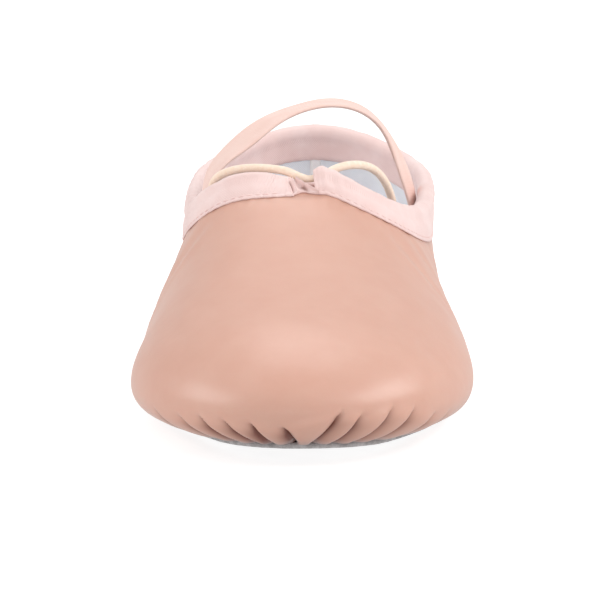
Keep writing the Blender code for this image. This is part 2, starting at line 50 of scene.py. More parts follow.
THROAT_HEIGHT = 0.0513
TOE_SPRING = 0.0045
ARCH_LIFT = 0.0020
RIDGE_OFFSET = 0.0054
FLANK_SLACK = 0.54
SIDE_SLACK = 0.06

# Collar of the leather, under its casing
THROAT_PLACE = 0.091
SIDE_COLLAR = 0.0346
HEEL_COLLAR = 0.0440
LOW_PLACE = 0.160
NECK_RISE = 0.0026
NECK_REACH = 0.0040

# Thicknesses and clearances
WALL = 0.0013
SOLE_THICKNESS = 0.0015
INSOLE_THICKNESS = 0.0015
SOLE_INSET = 0.0055
TURNED_EDGE = 0.0050
CLEARANCE = 0.0003

# The leather is gathered in towards the toe's middle where it meets the sole
GATHER_SHIFT = 0.0040
GATHER_REACH = 0.0080
GATHER_END = 0.1100

# Casing folded over the collar
CASING_WIDTH = 0.0098
CASING_THICKNESS = 0.0008
CASING_SLIT = 0.0066
SLIT_PLACE = -0.0010

# Elastic drawstring, in the casing and in two free tails
CORD_DIAMETER = 0.0021
TUNNEL_SLACK = 0.00045

# Elastic strap over the instep
STRAP_WIDTH = 0.0120
STRAP_THICKNESS = 0.0012
STRAP_RISE = 0.0285
STRAP_LEFT_PLACE = 0.131
STRAP_RIGHT_PLACE = 0.163
STRAP_TAIL = 0.0125


def table(columns, *rows):
    """A dictionary of arrays, one for each named column."""
    return dict(zip(columns.split(), np.array(rows, float).T))


# The last, from toe to heel. along is a share of LENGTH, half_width of half BALL_WIDTH, edge of EDGE_HEIGHT,
# crest of THROAT_HEIGHT, ridge of RIDGE_OFFSET and inset of SOLE_INSET. edge is the height of the widest line
# over the sole, crest the top of the last, which behind the throat is a leg that the collar cuts off, and
# ridge how far that top lies towards -X.
SECTIONS = table(
    "along half_width edge crest ridge inset",
    (0.000, 0.985, 0.82, 0.478, 0.0, 1.65),
    (0.060, 0.990, 0.86, 0.526, 0.1, 2.20),
    (0.120, 0.995, 0.90, 0.595, 0.3, 2.40),
    (0.200, 1.000, 0.96, 0.682, 0.6, 1.75),
    (0.280, 0.982, 1.00, 0.789, 0.9, 1.15),
    (0.360, 0.965, 1.04, 0.912, 1.0, 0.90),
    (0.405, 0.935, 1.06, 1.000, 1.0, 0.86),
    (0.470, 0.880, 1.10, 1.140, 0.9, 0.82),
    (0.600, 0.820, 1.20, 1.520, 0.5, 0.80),
    (0.750, 0.805, 1.36, 2.030, 0.1, 0.90),
    (0.880, 0.780, 1.46, 2.260, 0.0, 1.05),
    (1.000, 0.760, 1.50, 2.300, 0.0, 1.10),
)

# How the two ends are rounded: zone is the share of LENGTH that the rounding takes up, power its squareness.
TOE_PLAN = {"zone": 0.250, "power": 2.30}
TOE_CREST = {"zone": 0.120, "power": 2.20}
HEEL_PLAN = {"zone": 0.175, "power": 2.20}
HEEL_CREST = {"zone": 0.400, "power": 3.00}

# Shares of LENGTH where the sole leaves the floor
SPRING_START = 0.260
ARCH_START = 0.450
ARCH_END = 0.700

# The collar falls from the throat in a short lip and a long sweep, as shares of the fall and of LENGTH.
LIP_SHARE, LIP_REACH = 0.31, 0.013
SWEEP_REACH = 0.085
AHEAD_OF_THROAT = 0.086
COLLAR_RISE_POWER = 4.6

# Near the collar the wall turns up into a neck, which fades out along the sides at this share of LENGTH. Its
# rise is a share of NECK_RISE at places across the throat, which are shares of BALL_WIDTH. It is low at the
# slit's left side, where the casing lies down under the cord.
NECK_END = 0.58
NECK = table(
    "across rise",
    (-0.50, 0.80),
    (-0.28, 0.90),
    (-0.16, 0.70),
    (-0.06, 0.15),
    (0.00, 0.35),
    (0.05, 0.95),
    (0.12, 0.80),
    (0.22, 0.40),
    (0.50, 0.25),
)

# The wall's lines run up and in to points on the centre line. These are shares of LENGTH.
FRONT_FAN, BACK_FAN, FAN_SOFTNESS = 0.487, 0.828, 0.034

# The strap's middle line between its seats. across is a share of the way from left to right, back of the way
# from the left place to the right one, rise of STRAP_RISE, and roll is in degrees about the line.
STRAP_ARCH = table(
    "across back rise roll",
    (0.060, 0.08, 0.44, 10),
    (0.170, 0.20, 0.65, 12),
    (0.310, 0.34, 0.85, 8),
    (0.500, 0.52, 0.98, 0),
    (0.670, 0.70, 0.98, -3),
    (0.830, 0.88, 0.80, -3),
    (0.920, 0.96, 0.50, -2),
)

# Routes of the drawstring's two tails, from inside the casing to the end on the insole
LEFT_TAIL = (
    (0.0026, -0.0229, 0.0521),
    (0.0014, -0.0229, 0.0518),
    (0.0000, -0.0225, 0.0519),
    (-0.0020, -0.0217, 0.0525),
    (-0.0041, -0.0207, 0.0533),
    (-0.0070, -0.0198, 0.0538),
    (-0.0110, -0.0188, 0.0540),
    (-0.0150, -0.0175, 0.0537),
    (-0.0188, -0.0156, 0.0527),
    (-0.0220, -0.0126, 0.0507),
    (-0.0235, -0.0092, 0.0475),
    (-0.0238, -0.0062, 0.0430),
    (-0.0239, -0.0037, 0.0370),
    (-0.0240, -0.0020, 0.0300),
    (-0.0240, 0.0000, 0.0220),
    (-0.0237, 0.0028, 0.0148),
    (-0.0232, 0.0085, 0.0100),
    (-0.0226, 0.0170, 0.0087),
    (-0.0222, 0.0270, 0.0080),
    (-0.0216, 0.0400, 0.0069),
)
RIGHT_TAIL = (
    (-0.0043, -0.0231, 0.0506),
    (-0.0033, -0.0231, 0.0505),
    (-0.0022, -0.0227, 0.0502),
    (-0.0010, -0.0218, 0.0499),
    (0.0004, -0.0206, 0.0499),
    (0.0022, -0.0192, 0.0506),
    (0.0048, -0.0176, 0.0522),
    (0.0082, -0.0156, 0.0537),
    (0.0120, -0.0122, 0.0539),
    (0.0150, -0.0076, 0.0529),
    (0.0178, -0.0020, 0.0505),
    (0.0202, 0.0040, 0.0462),
    (0.0217, 0.0085, 0.0410),
    (0.0226, 0.0115, 0.0340),
    (0.0231, 0.0135, 0.0260),
    (0.0233, 0.0158, 0.0180),
    (0.0231, 0.0195, 0.0120),
    (0.0227, 0.0260, 0.0090),
    (0.0221, 0.0360, 0.0074),
    (0.0213, 0.0500, 0.0066),
)

# How finely the curves are worked out, and the spacing of the wall's lines round the toe, sides and heel and
# along the casing
OUTLINE_STEPS = 4000
SLOPE_STEP = 0.0008
UNIT_STEP = 0.001
BISECTIONS = 40
TURNED_STEPS, LOWER_STEPS, UPPER_STEPS = 4, 24, 72
TOE_SPAN = 0.060
TOE_STEP, SIDE_STEP, HEEL_STEP = 0.0004, 0.0021, 0.0014
CASING_STEP, STITCH_STEP, COLLAR_STEP = 0.0002, 0.0006, 0.0013
STEP_GROWTH = 0.05
TAIL_POINTS = 96


def smooth_curve(places, values):
    """The natural cubic curve through the values, as a function of place."""
    places, values = np.asarray(places, float), np.asarray(values, float)
    gaps = np.diff(places)
    slopes = (np.diff(values, axis=0).T / gaps).T
    count = len(places)
    matrix, right = np.eye(count), np.zeros(values.shape)
    for i in range(1, count - 1):
        matrix[i, i - 1 : i + 2] = gaps[i - 1], 2 * (gaps[i - 1] + gaps[i]), gaps[i]
        right[i] = 6 * (slopes[i] - slopes[i - 1])
    bends = np.linalg.solve(matrix, right)

    def at(place):
        place = np.asarray(place, float)
        i = np.clip(np.searchsorted(places, place) - 1, 0, count - 2)
        shape = place.shape + (1,) * (values.ndim - 1)
        gap = gaps[i].reshape(shape)
        before = (place - places[i]).reshape(shape)
        after = gap - before
        left = (values[i] / gap - bends[i] * gap / 6) * after
        right = (values[i + 1] / gap - bends[i + 1] * gap / 6) * before
        return left + right + (bends[i] * after**3 + bends[i + 1] * before**3) / (6 * gap)

    return at


def run_along(points):
    """Distance along a row of points."""
    return np.concatenate([[0], np.cumsum(np.linalg.norm(np.diff(points, axis=0), axis=1))])


def through(points, count):
    """Evenly spread places on the smooth curve through points, which may hold more columns after x, y, z."""
    points = np.asarray(points, float)
    places = run_along(points[:, :3])
    return smooth_curve(places, points)(np.linspace(0, places[-1], count))


def smoothstep(share):
    share = np.clip(share, 0, 1)
    return share * share * (3 - 2 * share)


def bell(away, reach=1.0, power=2):
    """1 where away is 0, and close to 0 from twice the reach on."""
    return np.exp(-((away / reach) ** power))


def wavering(run, pitch, swing, drift):
    """A wave along a run, whose pitch swings to and fro."""
    turn = run / pitch * 2 * math.pi
    return np.sin(turn + swing * np.sin(run / drift))


def unit(vectors):
    return vectors / np.maximum(np.linalg.norm(vectors, axis=-1, keepdims=True), 1e-12)


def with_height(plan, height):
    return np.concatenate([plan, height[..., None]], -1)


# The last

SECTION_CURVES = {name: smooth_curve(SECTIONS["along"], SECTIONS[name]) for name in list(SECTIONS)[1:]}


def section(column, along):
    return SECTION_CURVES[column](np.clip(along, 0, 1))


def along_at(y):
    return y / LENGTH + 0.5


def y_at(along):
    return (along - 0.5) * LENGTH


def rounding(share_from_end, zone, power):
    """From 0 at an end to 1 where its rounded zone stops, starting as steeply as an ellipse."""
    return np.sqrt(1 - np.clip(1 - share_from_end / zone, 0, 1) ** power)


def half_width(along):
    ends = rounding(along, **TOE_PLAN) * rounding(1 - along, **HEEL_PLAN)
    return BALL_WIDTH / 2 * section("half_width", along) * ends


def sole_lift(along):
    """Height of the sole's underside over the floor."""
    spring = TOE_SPRING * np.clip(1 - along / SPRING_START, 0, None) ** 2
    arch = np.clip((along - ARCH_START) / (ARCH_END - ARCH_START), 0, 1)
    return spring + ARCH_LIFT * np.sin(math.pi * arch) ** 2


def seat_height(along):
    """Height of the underside of the leather that is turned in over the sole."""
    return sole_lift(along) + SOLE_THICKNESS + CLEARANCE


def edge_height(along):
    """Height of the widest line of the last."""
    return sole_lift(along) + EDGE_HEIGHT * section("edge", along)


def crest_height(along):
    edge = edge_height(along)
    rise = THROAT_HEIGHT * section("crest", along) - edge
    return edge + rise * rounding(along, **TOE_CREST) * rounding(1 - along, **HEEL_CREST)


def last_height(plan):
    """Height of the last's upper half over points of the plan."""
    along = along_at(plan[..., 1])
    across = np.clip(plan[..., 0] / np.maximum(half_width(along), 1e-9), -1, 1)
    ridge = section("ridge", along)
    lean = RIDGE_OFFSET / (BALL_WIDTH / 2) - SIDE_SLACK * across**2
    leaning = across + lean * ridge * (1 - across**2)
    # The leather hangs a little slack in the flanks of the forefoot.
    rounded = np.sqrt((1 - leaning**2) * (1 - FLANK_SLACK * ridge * leaning**4))
    edge = edge_height(along)
    return edge + (crest_height(along) - edge) * rounded


def collar_height(along):
    """Height of the leather's collar in side view. Ahead of the throat it runs up, clear of the last."""
    behind = np.maximum(along - THROAT_PLACE / LENGTH, -AHEAD_OF_THROAT)
    fall = crest_height(THROAT_PLACE / LENGTH) - SIDE_COLLAR
    lip = LIP_SHARE * np.exp(-behind / LIP_REACH)
    sweep = (1 - LIP_SHARE) * np.exp(-behind / SWEEP_REACH)
    low = LOW_PLACE / LENGTH
    rise = np.clip((along - low) / (1 - low), 0, 1) ** COLLAR_RISE_POWER
    return SIDE_COLLAR + fall * (lip + sweep) + (HEEL_COLLAR - SIDE_COLLAR) * rise


# The outline of the widest line, by distance from the toe's middle

FINE_ALONG = (1 - np.cos(np.linspace(0, math.pi, OUTLINE_STEPS))) / 2
FINE_X, FINE_Y = half_width(FINE_ALONG), y_at(FINE_ALONG)
FINE_DISTANCE = np.concatenate([[0], np.cumsum(np.hypot(np.diff(FINE_X), np.diff(FINE_Y)))])
HALF_GIRTH = FINE_DISTANCE[-1]


def signed(distance):
    """Distances past the heel are counted back round the other side."""
    return (distance + HALF_GIRTH) % (2 * HALF_GIRTH) - HALF_GIRTH


def outline(distance):
    """Plan points at distances from the toe's middle."""
    distance = signed(distance)
    x = np.interp(np.abs(distance), FINE_DISTANCE, FINE_X) * np.where(distance < 0, -1, 1)
    return np.stack([x, np.interp(np.abs(distance), FINE_DISTANCE, FINE_Y)], -1)


def outline_normal(distance):
    """Outward unit vectors across the outline."""
    run = outline(distance + SLOPE_STEP) - outline(distance - SLOPE_STEP)
    return unit(np.stack([run[..., 1], -run[..., 0]], -1))


def sole_edge(distance, further_in=0.0):
    """Plan points of the sole's edge, or further in, on the outline's normals."""
    edge = outline(distance)
    inset = SOLE_INSET * section("inset", along_at(edge[..., 1])) + further_in
    return edge - inset[..., None] * outline_normal(distance)


def gathered(distance):
    """Where a line of the wall meets the sole: the leather is drawn in towards the toe's middle."""
    distance = signed(distance)
    fade = 1 - smoothstep(np.abs(distance) / GATHER_END)
    return distance - GATHER_SHIFT * np.tanh(distance / GATHER_REACH) * fade


# The wall of the upper

NECK_CURVE = smooth_curve(NECK["across"], NECK["rise"])


def fan_point(y):
    """The y of the centre-line point that a wall line from this y runs to."""
    front, back, soft = y_at(FRONT_FAN), y_at(BACK_FAN), FAN_SOFTNESS * LENGTH
    y = front + soft * np.logaddexp(0, (y - front) / soft)
    return back - soft * np.logaddexp(0, (back - y) / soft)


def collar_share(start, end):
    """How far along each plan line from start to end the collar cuts it."""
    low, high = np.zeros(len(start)), np.full(len(start), 0.98)
    for _ in range(BISECTIONS):
        middle = (low + high) / 2
        plan = start + middle[:, None] * (end - start)
        below = last_height(plan) < collar_height(along_at(plan[:, 1]))
        low, high = np.where(below, middle, low), np.where(below, high, middle)
    return (low + high) / 2


def neck_rise(collar):
    """How far the neck lifts the collar over these points of the plan."""
    share = NECK_CURVE(np.clip(collar[:, 0] / BALL_WIDTH, -0.5, 0.5))
    throat = THROAT_PLACE / LENGTH
    fade = 1 - smoothstep((along_at(collar[:, 1]) - throat) / (NECK_END - throat))
    return NECK_RISE * share * fade


def wall_points(distance):
    """Points of the wall's outer face, a row for each distance, from the turned-in edge up to the collar."""
    edge, seam = outline(distance), sole_edge(gathered(distance))
    turned = sole_edge(gathered(distance), TURNED_EDGE)
    steps = np.linspace(0, 1, TURNED_STEPS, endpoint=False)[None, :, None]
    plan = turned[:, None] + steps * (seam - turned)[:, None]
    under = with_height(plan, seat_height(along_at(plan[..., 1])))

    turn = np.linspace(math.pi / 2, 0, LOWER_STEPS, endpoint=False)[None, :]
    plan = edge[:, None] + (1 - np.cos(turn))[..., None] * (seam - edge)[:, None]
    top, bottom = edge_height(along_at(edge[:, 1])), seat_height(along_at(seam[:, 1]))
    lower = with_height(plan, top[:, None] - np.sin(turn) * (top - bottom)[:, None])

    end = np.stack([np.zeros(len(edge)), fan_point(edge[:, 1])], -1)
    climb = (1 - np.cos(np.linspace(0, math.pi, UPPER_STEPS))) / 2
    share = collar_share(edge, end)[:, None] * climb
    plan = edge[:, None] + share[..., None] * (end - edge)[:, None]
    height = last_height(plan)
    height[:, 0] = top
    upper = with_height(plan, height)
    steps = np.linalg.norm(np.diff(upper, axis=1), axis=-1)
    short_of_collar = np.concatenate([np.cumsum(steps[:, ::-1], 1)[:, ::-1], np.zeros((len(steps), 1))], 1)
    upper[..., 2] += neck_rise(plan[:, -1])[:, None] * np.exp(-short_of_collar / NECK_REACH)
    return np.concatenate([under, lower, upper], 1)


class Wall:
    """The wall's outer face at a row of stations: its points, outward normals and lengths along each line."""

    def __init__(self, distance):
        self.distance = np.asarray(distance, float)
        self.points = wall_points(self.distance)
        across = wall_points(self.distance + SLOPE_STEP) - wall_points(self.distance - SLOPE_STEP)
        self.normals = unit(np.cross(across, np.gradient(self.points, axis=1)))
        steps = np.linalg.norm(np.diff(self.points, axis=1), axis=-1)
        self.lengths = np.concatenate([np.zeros((len(steps), 1)), np.cumsum(steps, 1)], 1)
        self.seam = self.lengths[:, TURNED_STEPS]
        self.widest = self.lengths[:, TURNED_STEPS + LOWER_STEPS]
        self.collar = self.lengths[:, -1]

    def at(self, length, inward=0.0):
        """One point for each station, at a length along its line and a distance in from the outer face."""
        length = np.broadcast_to(length, self.distance.shape)
        inward = np.broadcast_to(inward, self.distance.shape)
        faces = self.points - inward[:, None, None] * self.normals
        return np.array(
            [[np.interp(a, own, p[:, k]) for k in range(3)] for a, own, p in zip(length, self.lengths, faces)]
        )

    def up(self):
        """Unit vectors that carry on up the wall past the collar."""
        return unit(self.points[:, -1] - self.points[:, -3])


# Pleats of the toe. Levels count from 0 at the sole's edge to 1 at the widest line and on past it. place is
# where the crease meets the widest line and foot where it meets the sole's edge, both shares of BALL_WIDTH
# from the toe's middle. depth is a share of PLEAT_DEPTH, top the level where the crease ends and dark the
# strength of the painted shade in and beside the crease. A fold rolls over the next one from the share
# PLEAT_ROLL of its width on.
PLEAT_DEPTH = 0.0013
PLEAT_SWELL = 0.0007
PLEAT_LEAN = 0.0003
PLEAT_FADE = 0.20
PLEAT_ROLL = 0.80
PLEAT_HOOK = 0.006
# Painted shade: a dark line in each crease, shade beside its fold, more at the crease's foot and along the
# sole's edge
PLEAT_LINE, LINE_DARK = 0.0010, 0.72
PLEAT_SHADE, SHADE_DARK = 0.0030, 0.62
FOOT_DARK, FOOT_DARK_REACH = 0.70, 0.50
SOLE_SHADE, SOLE_SHADE_REACH = 0.90, 0.40
MOST_DARK = 0.95
PLEATS = table(
    "place foot depth top dark",
    (-0.530, -0.420, 0.50, 0.90, 1.3),
    (-0.400, -0.300, 0.80, 0.86, 1.8),
    (-0.304, -0.218, 0.95, 0.90, 1.7),
    (-0.226, -0.145, 1.00, 0.86, 1.5),
    (-0.138, -0.090, 1.00, 0.83, 1.8),
    (-0.052, 0.002, 1.00, 0.76, 1.9),
    (0.117, 0.060, 0.95, 1.03, 0.8),
    (0.180, 0.132, 0.90, 0.97, 1.0),
    (0.275, 0.205, 1.00, 1.05, 0.9),
    (0.362, 0.282, 0.90, 1.00, 1.5),
    (0.484, 0.395, 0.85, 0.86, 1.7),
    (0.590, 0.515, 0.50, 0.82, 1.3),
)

# Pleats of the heel, which are even. Pitch and spread are shares of BALL_WIDTH.
HEEL_PLEAT_DEPTH = 0.00042
HEEL_PLEAT_PITCH = 0.110
HEEL_PLEAT_SPREAD = 0.36

# Soft creases in the leather, listed one by one. girth is a place along the outline from the toe's middle, a
# share of BALL_WIDTH, and up the share of the way from the widest line to the collar. Each runs from one such
# point to another. width is a share of BALL_WIDTH and depth of CREASE_DEPTH.
CREASE_DEPTH = 0.0005
CREASE_POINTS = 13
CREASES = table(
    "girth up girth2 up2 width depth",
    (-0.72, 0.30, -0.40, 0.16, 0.030, 0.35),
    (0.52, 0.16, 0.84, 0.34, 0.030, 0.35),
    (-1.30, 0.10, -1.12, 0.86, 0.028, 0.65),
    (-1.50, 0.15, -1.38, 0.88, 0.028, 0.50),
    (1.22, 0.10, 1.10, 0.86, 0.028, 0.60),
    (1.46, 0.12, 1.36, 0.88, 0.028, 0.55),
    (1.76, 0.20, 1.70, 0.84, 0.028, 0.40),
    (-1.78, 0.18, -1.74, 0.86, 0.028, 0.42),
    (-2.72, 0.20, -2.62, 0.80, 0.020, 0.50),
    (2.70, 0.22, 2.60, 0.78, 0.020, 0.50),
)

# Low swells and hollows of the soft leather over the foot: place as above, size a share of BALL_WIDTH and
# height of SWELL_HEIGHT.
SWELL_HEIGHT = 0.0006
SWELLS = table(
    "girth up size height",
    (-0.10, 0.16, 0.16, 0.8),
    (0.40, 0.10, 0.13, 0.7),
    (-0.55, 0.12, 0.13, 0.6),
    (0.16, 0.30, 0.15, -0.6),
    (-0.30, 0.52, 0.16, 0.5),
    (0.55, 0.50, 0.16, -0.4),
    (-1.05, 0.40, 0.20, -0.6),
    (0.92, 0.24, 0.22, 1.7),
    (1.20, 0.55, 0.18, -0.5),
)

# Puckers, and painted shade under the casing, where the leather lies flat
PUCKER_PITCH = 0.0036
PUCKER_DEPTH = 0.00006
PUCKER_REACH = 0.0030
UNDER_CASING_DARK, UNDER_CASING_REACH = 0.26, 0.0007
TIGHT_START, TIGHT_REACH = 0.0005, 0.0015

# Casing, gathered at the slit. Its left end is pinched, squeezed and lies low. Its foot is thin and stitched.
SLIT_LEFT, SLIT_RIGHT = SLIT_PLACE - CASING_SLIT / 2, SLIT_PLACE + CASING_SLIT / 2
LEFT_END_REACH = 0.0015
GATHER_PITCH, GATHER_DEPTH, GATHER_SPREAD = 0.0010, 0.00019, 0.0090
PINCH_SHARE, PINCH_PLACE, PINCH_REACH = 0.33, 0.0010, 0.0085
END_SQUEEZE, END_REACH = 0.24, 0.0035
LOW_END, LOW_END_REACH = 0.85, 0.0150
HEM_SLANT = 0.0016
LOW_TUNNEL = 0.12
END_ROUND = 0.0005
MOUTH_SWELL, MOUTH_REACH = 0.03, 0.0026
MOUTH_FOLD, MOUTH_FOLD_PLACE, MOUTH_FOLD_PITCH = 0.0003, 0.0021, 0.0034
CASING_BEAD = 0.00012
CASING_FOOT_THICKNESS = 0.00035
FOOT_GAP = 0.0001
INSIDE_GAP, INSIDE_SLANT = 0.00004, 0.00022
INSIDE_SHARES = (0.0, 0.5, 0.98)
TUNNEL_TURN = (math.radians(-14), math.radians(194))
TUNNEL_SWELL = 0.0003

# Slow waves along the casing: height, pitch, and how far and how slowly the pitch swings
CASING_WAVES = ((0.000063, 0.0083, 1.7, 0.031), (0.000049, 0.0047, 2.1, 0.019))
WAVES_START = 0.012

# Stitches: the first one's place, what stays free at the end of the row, and a thread's sizes
CASING_STITCH = {"first": 0.0016, "spare": 0.0016, "length": 0.0015, "pitch": 0.0021, "radius": 0.00013}
SOLE_STITCH = {"first": 0.0, "spare": 0.0030, "length": 0.0026, "pitch": 0.0034, "radius": 0.00026}
STITCH_INSET, SOLE_STITCH_INSET = 0.0010, 0.0041
GROOVE_DEPTH, GROOVE_WIDTH = 0.00014, 0.0004
THREAD_GAP = 0.00003
SCALLOP = 0.00016

# Web between the casing's two ends, which it runs on under
WEB_TUCK_LEFT, WEB_TUCK_RIGHT = 0.0012, 0.0008
WEB_PEAK, WEB_RISE, WEB_DEPTH = 0.0012, 0.0012, 0.0014
WEB_THICKNESS, WEB_GAP = 0.0003, 0.00003
WEB_OVER_CORD = 0.0007
WEB_HEM, WEB_LOWEST = 0.0001, 0.00025

# Strands and pockets of the web: each runs from one point to another. place is a share of the web's length
# from its left, and level one of its height from its foot. height is a share of WEB_DEPTH, and those below
# zero are sunk pockets that also get painted shade. width is a share of the web's length.
WEB_FOLDS = table(
    "place level place2 level2 width height",
    (0.00, 1.00, 0.22, 0.10, 0.035, -1.0),
    (0.12, 0.95, 0.36, 0.12, 0.050, 0.8),
    (0.52, 0.50, 0.62, 0.12, 0.085, -1.1),
    (0.26, 1.00, 1.05, 0.05, 0.050, 1.1),
    (0.72, 0.92, 0.98, 0.45, 0.090, -1.5),
)

# Lining and the tape over the heel's seam
LINING_THICKNESS = 0.00022
LINING_START, LINING_END, LINING_GAP = 0.0030, 0.0004, 0.00003
TAPE_WIDTH, TAPE_LENGTH, TAPE_THICKNESS = 0.0034, 0.030, 0.00035
TAPE_FOOT, TAPE_TOP, TAPE_GAP = 0.008, 0.001, 0.00002

# Elastic strap: its ribs, and how it leans, spreads and turns away from its solid
RIBS = 11
RIB_HEIGHT = 0.0001
STRAP_EDGE = 0.12
STRAP_LEAN = 0.0008
STRAP_SPREAD, SPREAD_PLACE, SPREAD_REACH = 0.22, 0.24, 0.16
STRAP_TURN, TURN_PLACE, TURN_REACH = math.radians(8), 0.82, 0.12

# How far the sole stands out at the toe's right, and over which stretches of x and y that comes and goes. The
# channel of its stitches is a share of its thickness, and fray how ragged its cut edge is.
SOLE_SHOW = 0.0016
SHOW_FROM, SHOW_RISE = 0.006, 0.016
SHOW_TO, SHOW_FALL = -0.085, 0.025
CHANNEL = 0.22
FRAY = 0.00007

# Brightness of the room, and the soft boxes: their direction from the shoe, distance, size and radiance
ROOM_FRONT, ROOM_BACK, ROOM_BELOW = 0.67, 0.63, 0.86
LIGHTS = (
    ("overhead", (-0.02, 0.38, 0.92), 1.1, (0.56, 0.44), 2.4),
    ("left", (-0.88, -0.16, 0.44), 1.3, (0.85, 0.62), 3.2),
    ("right", (0.78, -0.16, 0.60), 1.3, (0.95, 0.62), 4.5),
    ("front", (0.05, -1.00, 0.06), 1.6, (1.50, 0.60), 0.7),
)
LIGHT_TARGET = (0, 0, 0.02)
FLOOR_REACH = 6.0

# Colours
LEATHER = (0.695, 0.398, 0.308)
LEATHER_DEEP = (0.665, 0.364, 0.277)
LEATHER_PALE = (0.725, 0.450, 0.356)
# Colour of the painted shade in the leather's creases and pleats, along the sole's edge and under the casing
PAINTED_CREASE_SHADE = (0.150, 0.030, 0.014)
CASING_PINK, CASING_LIGHT = (0.860, 0.625, 0.590), (0.915, 0.710, 0.680)
STRAP_PINK, STRAP_LIGHT = (0.855, 0.590, 0.515), (0.900, 0.665, 0.595)
CORD_CREAM, CORD_LIGHT = (0.940, 0.740, 0.580), (0.985, 0.815, 0.680)
LINING_GREY, LINING_LIGHT = (0.820, 0.845, 0.885), (0.890, 0.915, 0.955)
SUEDE_GREY, SUEDE_LIGHT = (0.200, 0.185, 0.185), (0.560, 0.530, 0.530)
THREAD_PINK = (0.930, 0.720, 0.680)
# Colour of the painted shade in the web's pockets
PAINTED_POCKET_SHADE = (0.280, 0.110, 0.080)
TAPE_WHITE, TAPE_LIGHT = (0.940, 0.905, 0.895), (0.985, 0.960, 0.955)
FLOOR_GREY, FLOOR_GLOW = (0.42, 0.42, 0.42), 0.79
WHITE = (1, 1, 1)

# Camera, fitted to the shoe's outline in the photograph
CAMERA_PLACE = (0.0182, -0.8829, 0.18245)
CAMERA_PITCH, CAMERA_YAW = 0.1848, 0.0226
CAMERA_LENS = 212.16


# Camera, light and floor


def linked(name, data):
    made = bpy.data.objects.new(name, data)
    bpy.context.scene.collection.objects.link(made)
    return made


def make_camera():
    data = bpy.data.cameras.new("camera")
    data.lens = CAMERA_LENS
    data.sensor_width = 36
    data.clip_start = 0.01
    data.clip_end = 50
    camera = linked("camera", data)
    camera.location = CAMERA_PLACE
    camera.rotation_euler = (math.pi / 2 - CAMERA_PITCH, 0, CAMERA_YAW)
    bpy.context.scene.camera = camera


def aim(thing, target):
    run = np.array(target) - np.array(thing.location)
    flat = math.hypot(run[0], run[1])
    thing.rotation_euler = (math.pi / 2 + math.atan2(run[2], flat), 0, math.atan2(-run[0], run[1]))


def make_light(name, place, target, size, power):
    data = bpy.data.lights.new(name, "AREA")
    data.shape = "RECTANGLE"
    data.size, data.size_y = size
    data.energy = power
    light = linked(name, data)
    light.location = place
    aim(light, target)


def make_world():
    """A white room, nearly even all round and brightest below, where a studio's floor throws light back."""
    world = bpy.data.worlds.new("studio")
    bpy.context.scene.world = world
    world.use_nodes = True
    nodes, links = world.node_tree.nodes, world.node_tree.links
    split = nodes.new("ShaderNodeSeparateXYZ")
    links.new(nodes.new("ShaderNodeTexCoord").outputs["Generated"], split.inputs[0])

    def span(output, low, high, first, last):
        node = nodes.new("ShaderNodeMapRange")
        node.interpolation_type = "SMOOTHSTEP"
        for name, value in zip(("From Min", "From Max", "To Min", "To Max"), (low, high, first, last)):
            node.inputs[name].default_value = value
        links.new(output, node.inputs["Value"])
        return node.outputs["Result"]

    back = span(split.outputs["Y"], -0.9, 0.5, ROOM_FRONT, ROOM_BACK)
    above = span(split.outputs["Z"], -0.20, 0.30, 0, 1)
    mix = nodes.new("ShaderNodeMix")
    links.new(above, mix.inputs["Factor"])
    mix.inputs["A"].default_value = ROOM_BELOW
    links.new(back, mix.inputs["B"])
    nodes["Background"].inputs["Color"].default_value = (*WHITE, 1)
    links.new(mix.outputs["Result"], nodes["Background"].inputs["Strength"])


def make_floor():
    """A plain white floor, which the shoe hardly mirrors and which throws little light up."""
    mesh = bpy.data.meshes.new("floor")
    corners = [(-1, -1), (1, -1), (1, 1), (-1, 1)]
    mesh.from_pydata([(x * FLOOR_REACH, y * FLOOR_REACH, 0) for x, y in corners], [], [(0, 1, 2, 3)])
    floor = linked("floor", mesh)
    white = Shader("floor_white", 0.9, 0.0)
    white.set(Base_Color=FLOOR_GREY, Emission_Color=WHITE, Emission_Strength=FLOOR_GLOW)
    mesh.materials.append(white.material)
    floor.visible_diffuse = False
    floor.visible_glossy = False


def make_studio():
    make_world()
    for name, ray, away, size, radiance in LIGHTS:
        place = np.array(ray) / np.linalg.norm(ray) * away
        power = radiance * math.pi * size[0] * size[1]
        make_light(name, tuple(place), LIGHT_TARGET, size, power)
    make_floor()
    view = bpy.context.scene.view_settings
    view.view_transform = "Standard"
    view.look = "None"
    view.exposure = 0
    view.gamma = 1


# Materials


